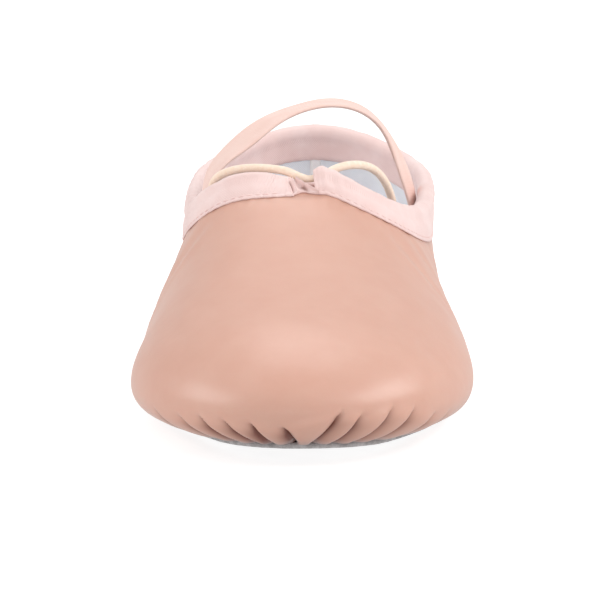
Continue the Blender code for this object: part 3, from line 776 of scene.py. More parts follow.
class Shader:
    """A material's node tree, built with few words."""

    def __init__(self, name, rough, specular=0.5):
        self.material = bpy.data.materials.new(name)
        self.material.use_nodes = True
        self.nodes = self.material.node_tree.nodes
        self.links = self.material.node_tree.links
        self.shader = self.nodes["Principled BSDF"]
        self.set(Roughness=rough, Specular_IOR_Level=specular)
        self.place = self.nodes.new("ShaderNodeTexCoord").outputs["Object"]

    def set(self, **values):
        for name, value in values.items():
            self.feed(self.shader.inputs[name.replace("_", " ")], value)

    def feed(self, socket, value):
        """Links a socket to another node's output, or gives it a number or a colour."""
        if isinstance(value, bpy.types.NodeSocket):
            self.links.new(value, socket)
        else:
            socket.default_value = (*value, 1) if isinstance(value, tuple) else value

    def texture(self, kind, **values):
        """A texture over the piece's own place in metres."""
        node = self.nodes.new(kind)
        for name, value in values.items():
            node.inputs[name].default_value = value
        self.links.new(self.place, node.inputs["Vector"])
        return node

    def noise(self, scale, detail=2.0, rough=0.5):
        return self.texture("ShaderNodeTexNoise", Scale=scale, Detail=detail, Roughness=rough).outputs["Fac"]

    def cells(self, scale, feature="DISTANCE_TO_EDGE"):
        node = self.texture("ShaderNodeTexVoronoi", Scale=scale)
        node.feature = feature
        return node.outputs["Distance"]

    def attribute(self, name):
        node = self.nodes.new("ShaderNodeAttribute")
        node.attribute_name = name
        return node.outputs["Fac"]

    def weave(self, pitch):
        """A woven pattern over the piece's own map, which is in metres."""
        split = self.nodes.new("ShaderNodeSeparateXYZ")
        self.links.new(self.nodes.new("ShaderNodeTexCoord").outputs["UV"], split.inputs[0])
        turns = [self.math("MULTIPLY", split.outputs[axis], 2 * math.pi / pitch) for axis in "XY"]
        product = self.math("MULTIPLY", *(self.math("SINE", turn) for turn in turns))
        return self.math("MULTIPLY_ADD", product, 0.5, 0.5)

    def math(self, operation, *values):
        node = self.nodes.new("ShaderNodeMath")
        node.operation = operation
        for socket, value in zip(node.inputs, values):
            self.feed(socket, value)
        return node.outputs[0]

    def ramp(self, factor, first, last):
        """A colour between two stops, each a place and its colour."""
        node = self.nodes.new("ShaderNodeValToRGB")
        for element, (place, colour) in zip(node.color_ramp.elements, (first, last)):
            element.position = place
            element.color = (*colour, 1)
        self.links.new(factor, node.inputs["Fac"])
        return node.outputs["Color"]

    def mix(self, factor, first, second):
        node = self.nodes.new("ShaderNodeMix")
        node.data_type = "RGBA"
        for socket, value in ((node.inputs[0], factor), (node.inputs[6], first), (node.inputs[7], second)):
            self.feed(socket, value)
        return node.outputs[2]

    def bump(self, *layers):
        """Layers of (height, strength, distance), each on top of the one before."""
        before = None
        for height, strength, distance in layers:
            node = self.nodes.new("ShaderNodeBump")
            node.inputs["Strength"].default_value = strength
            node.inputs["Distance"].default_value = distance
            self.links.new(height, node.inputs["Height"])
            if before is not None:
                self.links.new(before, node.inputs["Normal"])
            before = node.outputs["Normal"]
        self.set(Normal=before)


def leather_material():
    """Soft leather in two close tones with fine pores, with painted shade in its creases and pleats, along
    the sole's edge and under the casing.
    """
    s = Shader("leather_pink", 0.40, 0.48)
    s.set(Coat_Weight=0.12, Coat_Roughness=0.30, Subsurface_Weight=0.04, Subsurface_Scale=0.002)
    tone = s.ramp(s.noise(38, 3, 0.55), (0.30, LEATHER_DEEP), (0.70, LEATHER))
    tone = s.mix(0.22, tone, s.ramp(s.noise(160, 4, 0.6), (0.35, LEATHER_DEEP), (0.65, LEATHER_PALE)))
    # The crease attribute holds painted shade, which turns the tone towards PAINTED_CREASE_SHADE
    s.set(Base_Color=s.mix(s.attribute("crease"), tone, PAINTED_CREASE_SHADE))
    s.set(Roughness=s.math("MULTIPLY_ADD", s.noise(90, 3), 0.10, 0.32))
    s.bump((s.noise(420, 3, 0.6), 0.10, 0.0003), (s.cells(1300), 0.10, 0.00012))
    return s.material


def cloth_material(name, dark, light, thread, fuzz=0.35, strength=0.35):
    """Woven cloth of a thread pitch in metres, with painted shade in its pockets."""
    s = Shader(name, 0.85, 0.25)
    s.set(Sheen_Weight=fuzz, Sheen_Roughness=0.5)
    weave = s.weave(thread)
    tone = s.ramp(s.noise(120, 3, 0.6), (0.30, dark), (0.70, light))
    tone = s.mix(s.math("MULTIPLY", weave, 0.10), tone, dark)
    s.set(Base_Color=s.mix(s.math("MULTIPLY", s.attribute("crease"), 0.75), tone, PAINTED_POCKET_SHADE))
    s.bump((s.noise(500, 3), 0.12, 0.0003), (weave, strength, 0.0002))
    return s.material


def suede_material():
    s = Shader("suede_grey", 0.95, 0.15)
    s.set(Sheen_Weight=0.4, Sheen_Roughness=0.6)
    tone = s.ramp(s.noise(330, 4, 0.75), (0.36, SUEDE_GREY), (0.62, SUEDE_LIGHT))
    s.set(Base_Color=s.mix(0.35, tone, s.ramp(s.noise(40, 3), (0.35, SUEDE_GREY), (0.65, SUEDE_LIGHT))))
    s.bump((s.noise(900, 4, 0.7), 0.5, 0.0004), (s.noise(2600, 2), 0.3, 0.0002))
    return s.material


def thread_material():
    s = Shader("thread_pink", 0.6, 0.4)
    s.set(Base_Color=s.ramp(s.noise(900, 2), (0.3, CASING_PINK), (0.7, THREAD_PINK)))
    s.bump((s.noise(4000, 2), 0.3, 0.0001))
    return s.material


def cord_material():
    s = Shader("elastic_cord", 0.7, 0.3)
    s.set(Sheen_Weight=0.3, Sheen_Roughness=0.5)
    s.set(Base_Color=s.ramp(s.noise(900, 2), (0.3, CORD_CREAM), (0.7, CORD_LIGHT)))
    s.bump((s.cells(1900, "F1"), 0.35, 0.0002), (s.noise(2500, 2), 0.15, 0.0001))
    return s.material


# Meshes


def mesh_piece(name, points, faces, material, maps=None, values=None, node=None):
    """A smooth closed piece, with a (u, v) in metres and named values for each of its points."""
    mesh = bpy.data.meshes.new(name)
    mesh.from_pydata([tuple(p) for p in points], [], faces)
    shape = bmesh.new()
    shape.from_mesh(mesh)
    bmesh.ops.recalc_face_normals(shape, faces=shape.faces)
    shape.to_mesh(mesh)
    shape.free()
    mesh.shade_smooth()
    if maps is not None:
        layer = mesh.uv_layers.new(name="map")
        corners = np.zeros(len(mesh.loops), int)
        mesh.loops.foreach_get("vertex_index", corners)
        layer.data.foreach_set("uv", np.asarray(maps, np.float32)[corners].ravel())
    for key, value in (values or {}).items():
        attribute = mesh.attributes.new(key, "FLOAT", "POINT")
        attribute.data.foreach_set("value", np.asarray(value, np.float32))
    mesh.materials.append(material)
    made = linked(name, mesh)
    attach(made, "root")
    if node:
        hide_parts(node)
    return made


def ring_faces(rings, per_ring, closed):
    """Quads between rings of points, each joined to the next, and the last to the first if closed."""
    faces = []
    for j in range(rings if closed else rings - 1):
        a, b = j * per_ring, (j + 1) % rings * per_ring
        for i in range(per_ring):
            k = (i + 1) % per_ring
            faces.append((a + i, a + k, b + k, b + i))
    return faces


def capped_sweep(sections):
    """Points and faces of a solid through closed sections, with its two ends filled."""
    count = len(sections[0])
    faces = ring_faces(len(sections), count, closed=False)
    faces += [tuple(range(count)), tuple(range((len(sections) - 1) * count, len(sections) * count))]
    return np.concatenate(sections), faces


def flat_map(run, across):
    """A place on the flat piece, in metres, for each point of a sweep."""
    return np.stack(np.meshgrid(run, across, indexing="ij"), -1).reshape(-1, 2)


def ladder_faces(start, count):
    """Rungs across a ring whose points i and count - i are opposite each other."""
    half = count // 2
    faces = [(start, start + 1, start + count - 1)]
    for i in range(1, half - 1):
        faces.append((start + i, start + i + 1, start + count - i - 1, start + count - i))
    faces.append((start + half - 1, start + half, start + half + 1))
    return faces


# Upper


def upper_stations():
    """Distances along the outline, closest in the toe's pleats."""
    heel = HEEL_PLAN["zone"] * LENGTH
    spans = (
        (-TOE_SPAN, TOE_SPAN, TOE_STEP),
        (TOE_SPAN, HALF_GIRTH - heel, SIDE_STEP),
        (HALF_GIRTH - heel, HALF_GIRTH + heel, HEEL_STEP),
        (HALF_GIRTH + heel, 2 * HALF_GIRTH - TOE_SPAN, SIDE_STEP),
    )
    return np.concatenate([np.linspace(a, b, round((b - a) / step), endpoint=False) for a, b, step in spans])


def pleat_wave(distance, level):
    """The pleats along one level of the wall.

    The wave is -1 in the creases and +1 on the folds between them. Each fold rolls over the next one outward.
    Each fold rolls over the next one outward. With it come the pleats' depth and top, the strength of the
    painted shade in the crease and beside its fold, and how far the folds lean.
    """
    down = np.clip((1 - level) / 0.6, -0.3, 1)
    hook = PLEAT_HOOK * bell(level[..., None] - PLEATS["top"], 0.05) * np.sign(PLEATS["place"])
    creases = (PLEATS["place"] + hook + (PLEATS["foot"] - PLEATS["place"]) * down[..., None]) * BALL_WIDTH
    before, after = 2 * creases[:, :1] - creases[:, 1:2], 2 * creases[:, -1:] - creases[:, -2:-1]
    edges = np.concatenate([before, creases, after], 1)
    ends = {"depth": 0, "top": 0.8, "dark": 0}
    depths, tops, darks = (np.concatenate([[end], PLEATS[name], [end]]) for name, end in ends.items())

    i = np.clip(np.sum(edges < distance[:, None], 1) - 1, 0, edges.shape[1] - 2)
    rows = np.arange(len(distance))
    left, right = edges[rows, i], edges[rows, i + 1]
    share = np.clip((distance - left) / (right - left), 0, 1)
    first_right = list(PLEATS["place"] > 0).index(True)
    middle = i == first_right
    outward = np.where(i >= first_right, share, 1 - share)

    rise = np.sin(np.clip(outward / PLEAT_ROLL, 0, 1) * math.pi / 2) ** 1.1
    drop = rounding(1 - outward, 1 - PLEAT_ROLL, 2.4)
    even = np.sqrt(np.clip(1 - np.abs(2 * share - 1) ** 5, 0, 1))
    wave = 2 * np.where(middle, even, np.where(outward < PLEAT_ROLL, rise, drop)) - 1
    depth = depths[i] + (depths[i + 1] - depths[i]) * share
    top = tops[i] + (tops[i + 1] - tops[i]) * share
    to_side = np.sign(distance) * smoothstep(outward / 0.9) ** 2
    lean = np.where(middle, np.clip(2 * share - 1, -1, 1) ** 5, to_side)
    lean = lean * (wave > -0.9) * (np.abs(distance) < 0.7 * BALL_WIDTH)

    near = np.minimum(distance - left, right - distance)
    nearest = np.where(share < 0.5, i, i + 1)
    line = darks[nearest] * bell(near, PLEAT_LINE) * np.clip(0.9 - wave, 0, 1)
    line *= 1 - smoothstep((level - tops[nearest] + 0.10) / 0.12)
    inner = np.where(i >= first_right, i, i + 1)
    under = np.where(middle, 1.0, outward) * (right - left)
    shade = darks[inner] * bell(under, PLEAT_SHADE) * (1 - smoothstep((level - tops[inner] + 0.26) / 0.24))
    return wave, depth, top, line, shade, lean


def upper_relief(wall, length):
    """How far the leather stands out, how dark its painted shade is and how far it leans, all at one level of
    the wall.
    """
    level = (length - wall.seam) / (wall.widest - wall.seam)
    wave, depth, top, line, shade, lean = pleat_wave(signed(wall.distance), level)
    fade = 1 - smoothstep((level - top + 0.12) / PLEAT_FADE)
    foot = smoothstep(level / 0.30)
    deep = np.where(wave < 0, PLEAT_DEPTH * (0.40 + 0.60 * foot), PLEAT_SWELL * foot)
    lean = PLEAT_LEAN * depth * lean * fade * foot
    # Painted shade: the crease's line, stronger near the sole, the shade beside each fold and the shade along
    # the sole's edge
    dark = (LINE_DARK + FOOT_DARK * bell(level, FOOT_DARK_REACH)) * line
    dark = dark + SHADE_DARK * shade + SOLE_SHADE * bell(level, SOLE_SHADE_REACH)
    behind = signed(wall.distance - HALF_GIRTH) / BALL_WIDTH
    ripple = HEEL_PLEAT_DEPTH * np.sin(behind / HEEL_PLEAT_PITCH * 2 * math.pi)
    heel = bell(behind, HEEL_PLEAT_SPREAD, 4) * np.sin(math.pi * np.clip(level, 0, 1)) ** 0.8
    return depth * deep * wave * fade + heel * ripple, np.clip(dark, 0, MOST_DARK), lean


def hand_creases(points):
    """How far the listed creases and swells push points of the wall out."""
    offset = np.zeros(len(points))
    share = np.linspace(0, 1, CREASE_POINTS)
    for girth, up, girth2, up2, width, depth in zip(*CREASES.values()):
        line = Wall((girth + (girth2 - girth) * share) * BALL_WIDTH)
        path = line.at(line.widest + (up + (up2 - up) * share) * (line.collar - line.widest))
        away = np.linalg.norm(points[:, None] - path[None], axis=2)
        near = np.argmin(away, axis=1)
        taper = np.sin(math.pi * np.clip(near / (CREASE_POINTS - 1), 0.04, 0.96)) ** 0.7
        reach = away[np.arange(len(points)), near] / (width * BALL_WIDTH)
        offset += CREASE_DEPTH * depth * taper * (0.9 * bell(reach - 1.9) - bell(reach))
    for girth, up, size, height in zip(*SWELLS.values()):
        line = Wall([girth * BALL_WIDTH])
        centre = line.at(line.widest + up * (line.collar - line.widest))[0]
        offset += SWELL_HEIGHT * height * bell(np.linalg.norm(points - centre, axis=1), size * BALL_WIDTH)
    return offset


def make_upper(material):
    """The leather: an outer face with its relief, the collar's edge and a plain inner face."""
    wall = Wall(upper_stations())
    count = len(wall.distance)
    levels = [share * wall.seam for share in (0, 0.5, 1)]
    levels += [wall.seam + share * (wall.widest - wall.seam) for share in np.linspace(0, 1, 37)[1:]]
    rise = wall.collar - wall.widest
    levels += [wall.widest + share * rise for share in np.linspace(0, 1, 62)[1:] ** 1.25]
    rows = [wall.at(length) for length in levels]
    normals = [(wall.at(length, -UNIT_STEP) - row) / UNIT_STEP for length, row in zip(levels, rows)]
    relief = [upper_relief(wall, length) for length in levels]
    sideways = [unit(np.gradient(row, axis=0)) * lean[:, None] for row, (_, _, lean) in zip(rows, relief)]
    points = np.concatenate(rows)
    offset = np.concatenate([stands_out for stands_out, _, _ in relief]) + hand_creases(points)
    # dark is the painted shade of the pleats and the sole's edge; the inner face gets none
    dark = np.concatenate([darkness for _, darkness, _ in relief])

    foot = casing_foot(wall)
    below = np.concatenate([foot - length for length in levels])
    turn = np.tile(run_along(wall.at(foot)), len(levels)) / PUCKER_PITCH * 2 * math.pi
    pucker = bell(below, PUCKER_REACH) * np.sin(turn + 1.3 * np.sin(turn / 5.3))
    offset += PUCKER_DEPTH * np.where(below > 0, pucker, 0)
    # Painted shade on the leather just under the casing's edge
    dark += np.where(below > -0.001, UNDER_CASING_DARK * bell(below, UNDER_CASING_REACH), 0)
    tight = 1 - smoothstep((TIGHT_START - below) / TIGHT_REACH)
    outer = points + np.concatenate(normals) * (offset * tight)[:, None] + np.concatenate(sideways)

    inner_levels = (levels[:3] + levels[8::6][:-1] + levels[-1:])[::-1]
    inner = [wall.at(length, WALL) for length in inner_levels]
    rings = list(outer.reshape(len(levels), count, 3)) + inner
    maps = [np.stack([wall.distance, np.broadcast_to(length, count)], 1) for length in levels + inner_levels]
    return mesh_piece(
        "leather_upper",
        np.concatenate(rings),
        ring_faces(len(rings), count, closed=True),
        material,
        maps=np.concatenate(maps),
        values={"crease": np.concatenate([dark, np.zeros(count * len(inner))])},
        node="upper",
    )


def make_lining(material):
    """Thin cloth on the inner face of the leather, from the insole up to under the casing."""
    wall = Wall(upper_stations()[::2])
    start, end = wall.seam + LINING_START, wall.collar - LINING_END
    levels = [start + share * (end - start) for share in np.linspace(0, 1, 26)]
    back_levels = levels[::5][::-1]
    rings = [wall.at(length, WALL + LINING_THICKNESS) for length in levels]
    rings += [wall.at(length, WALL + LINING_GAP) for length in back_levels]
    maps = [np.stack([wall.distance, length], 1) for length in levels + back_levels]
    points, maps = np.concatenate(rings), np.concatenate(maps)
    faces = ring_faces(len(rings), len(wall.distance), closed=True)
    return mesh_piece("lining", points, faces, material, maps=maps)


def make_heel_tape(material):
    """A narrow tape over the seam inside the heel."""
    across = np.linspace(-0.5, 0.5, 7)
    wall = Wall(HALF_GIRTH + across * TAPE_WIDTH)
    start, end = wall.seam + TAPE_FOOT, wall.collar - TAPE_TOP
    rounded = np.sqrt(np.clip(1 - np.abs(2 * across) ** 4, 0, 1))
    base = WALL + LINING_THICKNESS + TAPE_GAP
    shares = np.linspace(0, 1, 26)
    sections = []
    for length in (start + share * (end - start) for share in shares):
        top = wall.at(length, base + TAPE_THICKNESS * (0.35 + 0.65 * rounded))
        sections.append(np.concatenate([top, wall.at(length, base)[::-1]]))
    points, faces = capped_sweep(sections)
    maps = flat_map(shares * TAPE_LENGTH, np.concatenate([across, across[::-1]]) * TAPE_WIDTH)[:, ::-1]
    return mesh_piece("heel_seam_tape", points, faces, material, maps=maps)


# Casing


def casing_bore():
    return CORD_DIAMETER + 2 * TUNNEL_SLACK


def casing_leg():
    """How far the casing reaches down over the leather, below the collar's edge."""
    return CASING_WIDTH - CASING_THICKNESS - casing_bore() - CLEARANCE


def casing_foot(wall):
    """How far up each line the casing's lower edge is."""
    rim = wall.points[:, -1]
    near = bell(rim[:, 0] - PINCH_PLACE, PINCH_REACH) * (rim[:, 1] < 0)
    return wall.collar - casing_leg() * (1 - PINCH_SHARE * near)


def throat_places(*across):
    """Distances along the outline of the wall's lines that reach the throat's collar at these x."""
    near = np.linspace(-BALL_WIDTH / 2, BALL_WIDTH / 2, OUTLINE_STEPS // 20)
    return np.interp(across, wall_points(near)[:, -1, 0], near)


def collar_wall(from_x, to_x, step_near):
    """The wall between two places of the throat, all the way round the heel, closest near its two ends."""
    start, end = throat_places(from_x, to_x)
    finish = 2 * HALF_GIRTH + end
    places = [start]
    while places[-1] < finish:
        from_end = min(places[-1] - start, finish - places[-1])
        growth = float(smoothstep(from_end / STEP_GROWTH))
        places.append(places[-1] + step_near + (COLLAR_STEP - step_near) * growth)
    places = np.array(places)
    return Wall(start + (places - start) * (finish - start) / (places[-1] - start))


def tunnel_middle(wall):
    rim = wall.points[:, -1] - wall.normals[:, -1] * WALL / 2
    return rim + wall.up() * (CLEARANCE + casing_bore() / 2)


def make_casing(material):
    """The tape round the cord: its outer leg, its fold over the cord, its inner leg and then the inside."""
    wall = collar_wall(SLIT_RIGHT, SLIT_LEFT + LEFT_END_REACH, CASING_STEP)
    middle, out, up = tunnel_middle(wall), wall.normals[:, -1], wall.up()
    run = run_along(middle)
    to_left = run[-1] - run
    from_end = np.minimum(run, to_left)

    gathers = bell(to_left, GATHER_SPREAD) + 0.3 * bell(run, GATHER_SPREAD)
    turn = run / GATHER_PITCH * 2 * math.pi
    gathers *= np.sin(turn + 1.4 * np.sin(turn / 4.7)) * (0.6 + 0.4 * np.sin(turn / 7.3))
    waves = sum(height * wavering(run, *wave) for height, *wave in CASING_WAVES)
    waves *= smoothstep(from_end / WAVES_START)
    fold = MOUTH_FOLD * np.cos((run - MOUTH_FOLD_PLACE) / MOUTH_FOLD_PITCH * 2 * math.pi)
    fold *= bell(run, 2 * MOUTH_REACH)

    squeeze = bell(to_left, END_REACH)
    low = LOW_END * (1 - smoothstep((to_left - LOW_END_REACH * 0.5) / LOW_END_REACH)) * (1 - squeeze)
    size = 1 - END_SQUEEZE * squeeze + MOUTH_SWELL * bell(run, MOUTH_REACH) - LOW_TUNNEL * low
    bore = casing_bore() / 2 * size
    end_round = 0.4 + 0.6 * rounding(from_end, END_ROUND, 2)
    foot = casing_foot(wall) - SCALLOP * np.abs(np.sin(run / CASING_STITCH["pitch"] * math.pi))
    leg = wall.collar - foot
    slant = HEM_SLANT * squeeze[:, None] * unit(np.gradient(middle, axis=0))

    def ripple(share):
        """Ripples, least at the stitched foot."""
        return GATHER_DEPTH * gathers * (0.4 + 0.6 * share) + (waves + fold) * share

    def on_leg(share, off):
        return wall.at(foot + share * leg, off) + slant * (0.5 - share)

    def round_cord(turn_at, reach):
        return middle + reach[:, None] * (math.cos(turn_at) * out + math.sin(turn_at) * up) - slant * 0.5

    rows, across = [], []
    for share in np.linspace(0, 1, 15):
        edge = rounding(share, 0.07, 2)
        bead = CASING_BEAD * bell(share - 0.06, 0.06)
        groove = GROOVE_DEPTH * bell(share * leg - STITCH_INSET, GROOVE_WIDTH)
        full = smoothstep((share - 0.1) / 0.6)
        thick = CASING_FOOT_THICKNESS + (CASING_THICKNESS - CASING_FOOT_THICKNESS) * full
        off = FOOT_GAP + (CLEARANCE - FOOT_GAP) * smoothstep(share / 0.5)
        off = off + thick * (0.3 + 0.7 * edge) * end_round + bead - groove + ripple(share) * edge
        rows.append(on_leg(share, -off))
        across.append(share * casing_leg())
    for turn_at in np.linspace(*TUNNEL_TURN, 17):
        swell = TUNNEL_SWELL * math.sin(np.clip(turn_at, 0, math.pi)) * (1 - low)
        skin = CASING_THICKNESS * end_round * (1 - 0.3 * squeeze - 0.4 * low)
        rows.append(round_cord(turn_at, bore + skin + swell + ripple(1.0) * 0.8))
        across.append(casing_leg() + (turn_at + 0.25) * (casing_bore() / 2 + CASING_THICKNESS))
    for share in np.linspace(1, 0, 9):
        edge = rounding(share, 0.10, 2)
        off = WALL + CLEARANCE + CASING_THICKNESS * (0.35 + 0.65 * edge)
        rows.append(on_leg(share, off + ripple(share) * 0.6 * edge))
        across.append(across[-1] + casing_leg() / 9)
    rows += [wall.at(foot + share * leg, WALL + CLEARANCE) for share in INSIDE_SHARES]
    rows += [round_cord(turn_at, bore) for turn_at in np.linspace(*TUNNEL_TURN[::-1], 9)]
    rows += [wall.at(foot + share * leg, -INSIDE_GAP - INSIDE_SLANT * share) for share in INSIDE_SHARES[::-1]]
    across += [across[-1] + 0.001 * k for k in range(1, len(rows) - len(across) + 1)]
    points, faces = capped_sweep(np.stack(rows, 1))
    maps = flat_map(run, across)
    return mesh_piece("collar_tape", points, faces, material, maps=maps, node="collar_casing")


def capsule(start, end, radius, out, sides=6):
    """A short rounded thread from start to end, sunk at its two ends."""
    side = unit(np.cross(unit(end - start), out))
    turns = np.arange(sides)[:, None] * 2 * math.pi / sides
    rings = []
    for share, size in ((0.0, 0.25), (0.12, 0.8), (0.35, 1.0), (0.65, 1.0), (0.88, 0.8), (1.0, 0.25)):
        lift = radius * (math.sin(math.pi * share) * 0.8 - 0.25)
        centre = start + share * (end - start) + lift * out
        rings.append(centre + size * radius * (np.cos(turns) * side + np.sin(turns) * out))
    return capped_sweep(rings)


def stitched(name, line, outward, stitch, material):
    """One piece of equal stitches along a row of points, each with its own outward direction."""
    run = run_along(line)

    def at(values, place):
        return np.array([np.interp(place, run, values[:, k]) for k in range(3)])

    points, faces, place = [], [], stitch["first"]
    while place < run[-1] - stitch["spare"]:
        start, end = at(line, place), at(line, place + stitch["length"])
        thread = capsule(start, end, stitch["radius"], unit(at(outward, place)))
        count = sum(len(some) for some in points)
        points.append(thread[0])
        faces += [tuple(i + count for i in face) for face in thread[1]]
        place += stitch["pitch"]
    return mesh_piece(name, np.concatenate(points), faces, material)


def make_casing_stitches(material):
    wall = collar_wall(SLIT_RIGHT, SLIT_LEFT, STITCH_STEP)
    line = wall.at(casing_foot(wall) + STITCH_INSET, -(FOOT_GAP + CASING_FOOT_THICKNESS + THREAD_GAP))
    return stitched("casing_stitches", line, wall.normals[:, -20], CASING_STITCH, material)


def web_folds(share, level):
    """How high the strands stand and how deep the pockets are along one level of the web."""
    strands, pockets = np.zeros(len(share)), np.zeros(len(share))
    tall = casing_leg() / CASING_SLIT
    for place, low, place2, low2, width, height in zip(*WEB_FOLDS.values()):
        start, run = np.array([place, low * tall]), np.array([place2 - place, (low2 - low) * tall])
        spots = np.stack([share, np.full(len(share), level * tall)], 1) - start
        along = np.clip(spots @ run / (run @ run), 0, 1)
        away = np.linalg.norm(spots - along[:, None] * run, axis=1)
        kind = strands if height > 0 else pockets
        np.maximum(kind, abs(height) * bell(away, width), out=kind)
    return strands, np.clip(pockets - 0.8 * strands, 0, None)


def make_web(material):
    """The tape gathered between the casing's two ends. It bears out over the cord that leaves there."""
    start, end = throat_places(SLIT_LEFT + LEFT_END_REACH - WEB_TUCK_LEFT, SLIT_RIGHT + WEB_TUCK_RIGHT)
    share = np.linspace(0, 1, 91)
    wall = Wall(start + share * (end - start))
    up = wall.up()
    foot = casing_foot(wall) - WEB_HEM + WEB_PEAK * bell(share - 0.50, 0.24)
    rise = WEB_RISE * (1 - smoothstep((share - 0.10) / 0.75))

    def row(level, off):
        over = WEB_OVER_CORD * smoothstep((level - 0.45) / 0.4) * (1 - share)
        return wall.at(foot + level * (wall.collar - foot), -(off + over)) + (level * rise)[:, None] * up

    front = np.linspace(0, 1, 23)
    rows, darks = [], []
    for level in front:
        edge, lip = rounding(level, 0.08, 2), rounding(1 - level, 0.10, 2)
        strands, sunk = web_folds(share, level)
        sunk = sunk * math.sin(math.pi * min(level * 1.1, 1)) ** 0.7
        wavy = (strands * (0.35 + 0.65 * level) - 0.5 * sunk) * WEB_DEPTH * edge
        thick = WEB_THICKNESS * (1 + edge * (0.3 + 0.7 * lip))
        rows.append(row(level, thick + np.maximum(wavy, -WEB_LOWEST)))
        # Painted shade in the sunk pockets
        darks.append(sunk)
    back = front[::-2]
    rows += [row(level, WEB_GAP) for level in back]
    darks += [0 * share] * len(back)
    points, faces = capped_sweep(np.stack(rows, 1))
    maps = flat_map(share * CASING_SLIT, np.concatenate([front, back]) * casing_leg())
    values = {"crease": np.stack(darks, 1).ravel()}
    return mesh_piece("slit_web", points, faces, material, maps=maps, values=values)


# Cords


def make_tail(name, route, node, material):
    points = through(route, TAIL_POINTS)
    curve = bpy.data.curves.new(name, "CURVE")
    curve.dimensions = "3D"
    curve.bevel_depth = CORD_DIAMETER / 2
    curve.bevel_resolution = 5
    curve.use_fill_caps = True
    spline = curve.splines.new("POLY")
    spline.points.add(len(points) - 1)
    for point, place in zip(spline.points, points):
        point.co = (*place, 1)
    curve.materials.append(material)
    made = linked(name, curve)
    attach(made, "root")
    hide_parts(node)


# Strap


def strap_seat(place, side):
    """Rows of the strap's middle line up one inner wall, each with its width's direction."""
    reach = np.array([-0.5, 0.0, 0.5]) * STRAP_WIDTH
    distance = np.interp(y_at(place / LENGTH), FINE_Y, FINE_DISTANCE) * side
    wall = Wall(distance + reach)
    behind = WALL / 2 + casing_bore() / 2 + CASING_THICKNESS + CLEARANCE + STRAP_THICKNESS / 2
    rows = []
    for above in (-1.0, -0.5, 0.0):
        edge, middle, other = wall.at(wall.collar + above * STRAP_TAIL, behind)
        rows.append(np.concatenate([middle, unit(other - edge) * side]))
    return rows


def strap_line(count):
    """Middle line of the strap, its running direction and its width's direction."""
    left, right = strap_seat(STRAP_LEFT_PLACE, -1), strap_seat(STRAP_RIGHT_PLACE, 1)
    start, end = left[-1][:3], right[-1][:3]
    across, back, rise, roll = STRAP_ARCH.values()
    arch = start + np.stack([across, back, across], 1) * (end - start)
    arch[:, 2] += rise * STRAP_RISE
    ahead = [start, *arch, end]
    rows = []
    for i, turn in enumerate(np.radians(roll), 1):
        run = unit(ahead[i + 1] - ahead[i - 1])
        level = unit(np.array([0, 1, 0]) - run[1] * run)
        across = math.cos(turn) * level + math.sin(turn) * np.cross(run, level)
        rows.append(np.concatenate([ahead[i], across]))
    line = through(left + rows + right[::-1], count)
    middle = line[:, :3]
    run = unit(np.gradient(middle, axis=0))
    wide = unit(line[:, 3:] - np.sum(line[:, 3:] * run, 1, keepdims=True) * run)
    return middle, run, wide


def make_strap(material):
    """The elastic, which leans a little more to the left than its solid and spreads at its left foot."""
    middle, run, wide = strap_line(190)
    share = run_along(middle) / run_along(middle)[-1]
    middle[:, 0] -= STRAP_LEAN * (1 + 0.6 * share) * np.sin(math.pi * share) ** 0.8
    turn = STRAP_TURN * bell(share - TURN_PLACE, TURN_REACH)[:, None]
    wide = np.cos(turn) * wide + np.sin(turn) * np.cross(run, wide)
    thick = np.cross(run, wide)
    wide = wide * (1 + STRAP_SPREAD * bell(share - SPREAD_PLACE, SPREAD_REACH))[:, None]
    side = np.linspace(-1, 1, 45)
    edge = np.sqrt(np.clip(1 - np.abs(side) ** 14, 0, 1)) * 0.5 * STRAP_THICKNESS
    ribs = RIB_HEIGHT * np.cos(side * RIBS * math.pi) * np.clip((1 - np.abs(side)) * 8, 0, 1)
    face = np.maximum(edge - RIB_HEIGHT + ribs, STRAP_EDGE * STRAP_THICKNESS)
    places = np.concatenate([side, side[::-1]]) * STRAP_WIDTH / 2
    heights = np.concatenate([face, -face[::-1]])
    rows = [middle + a * wide + b * thick for a, b in zip(places, heights)]
    points, faces = capped_sweep(np.stack(rows, 1))
    maps = flat_map(run_along(middle), places)
    return mesh_piece("instep_elastic", points, faces, material, maps, node="instep_strap")


# Soles


def plate_loop(further_in, base, extra, count):
    """A loop at an inset from the sole's edge, at a height over one that follows the sole's length."""
    distance = np.linspace(0, 2 * HALF_GIRTH, count, endpoint=False)
    plan = sole_edge(distance, further_in)
    return with_height(plan, base(along_at(plan[:, 1])) + extra)


def plate_piece(name, loops, material, node):
    count = len(loops[0])
    faces = ring_faces(len(loops), count, closed=False)
    faces += ladder_faces(0, count) + ladder_faces((len(loops) - 1) * count, count)
    points = np.concatenate(loops)
    return mesh_piece(name, points, faces, material, maps=points[:, :2], node=node)


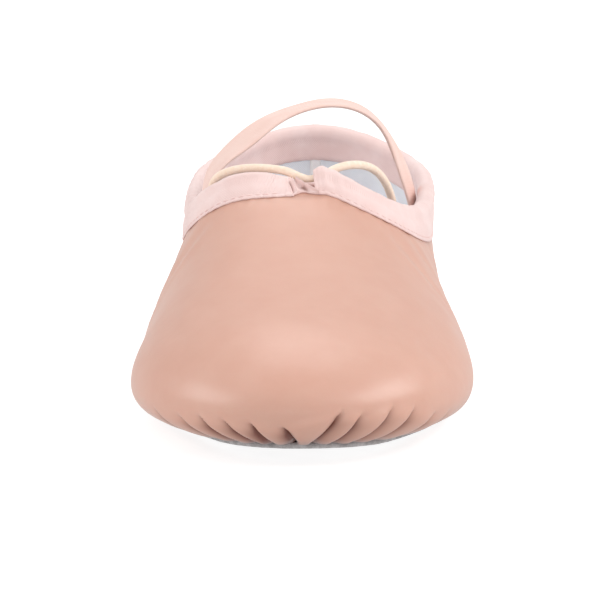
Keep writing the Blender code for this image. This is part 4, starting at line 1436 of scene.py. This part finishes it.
def make_outsole(material, count=420):
    """The suede sole with its frayed cut edge and the channel of its stitches."""
    ragged = np.random.default_rng(7).normal(0, FRAY, count)
    fray = sum(np.roll(ragged, shift) for shift in (-1, 0, 1)) / 2
    outward = outline_normal(np.linspace(0, 2 * HALF_GIRTH, count, endpoint=False))
    edge = ((0.0012, 1.00), (0.0004, 0.99), (0.0001, 0.86), (0.0, 0.55), (0.0001, 0.16), (0.0004, 0.0))
    channel = ((0.0030, 0.0), (0.0036, CHANNEL), (0.0046, CHANNEL), (0.0052, 0.0))
    loops = [plate_loop(inset, sole_lift, up * SOLE_THICKNESS, count) for inset, up in (*edge, *channel)]
    for loop in loops[: len(edge)]:
        right = smoothstep((loop[:, 0] - SHOW_FROM) / SHOW_RISE)
        ahead = 1 - smoothstep((loop[:, 1] - SHOW_TO) / SHOW_FALL)
        loop[:, :2] += (fray + SOLE_SHOW * right * ahead)[:, None] * outward
    return plate_piece("suede_sole", loops, material, "outsole")


def make_sole_stitches(material):
    line = plate_loop(SOLE_STITCH_INSET, sole_lift, CHANNEL * SOLE_THICKNESS, 1200)
    down = np.broadcast_to([0.0, 0.0, -1.0], line.shape)
    return stitched("sole_stitches", line, down, SOLE_STITCH, material)


def make_insole(material, count=300):
    under, inner = WALL + CLEARANCE, TURNED_EDGE + CLEARANCE
    top = under + INSOLE_THICKNESS
    edge = ((0.006, 0), (0.0025, 0.00002), (0.0010, 0.0001), (0.0002, 0.0004), (0, 0.0008))
    places = [(inset, top - drop) for inset, drop in edge] + [(0, under), (inner, under), (inner, 0)]
    loops = [plate_loop(inset, seat_height, height, count) for inset, height in places]
    return plate_piece("insole_board", loops, material, "insole")


def dress_drawstring(material):
    """The cord inside the tunnel keeps its solid and takes the cord's finish."""
    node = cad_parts["drawstring"]
    node.data.materials.clear()
    node.data.materials.append(material)


def main():
    make_camera()
    cord = cord_material()
    make_tail("cord_tail_left", LEFT_TAIL, "drawstring_left", cord)
    make_tail("cord_tail_right", RIGHT_TAIL, "drawstring_right", cord)
    make_studio()
    leather = leather_material()
    cotton = cloth_material("cotton_tape", CASING_PINK, CASING_LIGHT, 0.00055)
    lining = cloth_material("cotton_lining", LINING_GREY, LINING_LIGHT, 0.00070, fuzz=0.2)
    elastic = cloth_material("woven_elastic", STRAP_PINK, STRAP_LIGHT, 0.00080, strength=0.25)
    make_upper(leather)
    make_lining(lining)
    make_heel_tape(cloth_material("heel_tape", TAPE_WHITE, TAPE_LIGHT, 0.00060))
    make_casing(cotton)
    make_casing_stitches(thread_material())
    make_web(cotton)
    make_strap(elastic)
    suede = suede_material()
    make_outsole(suede)
    make_sole_stitches(suede)
    make_insole(lining)
    dress_drawstring(cord)


main()
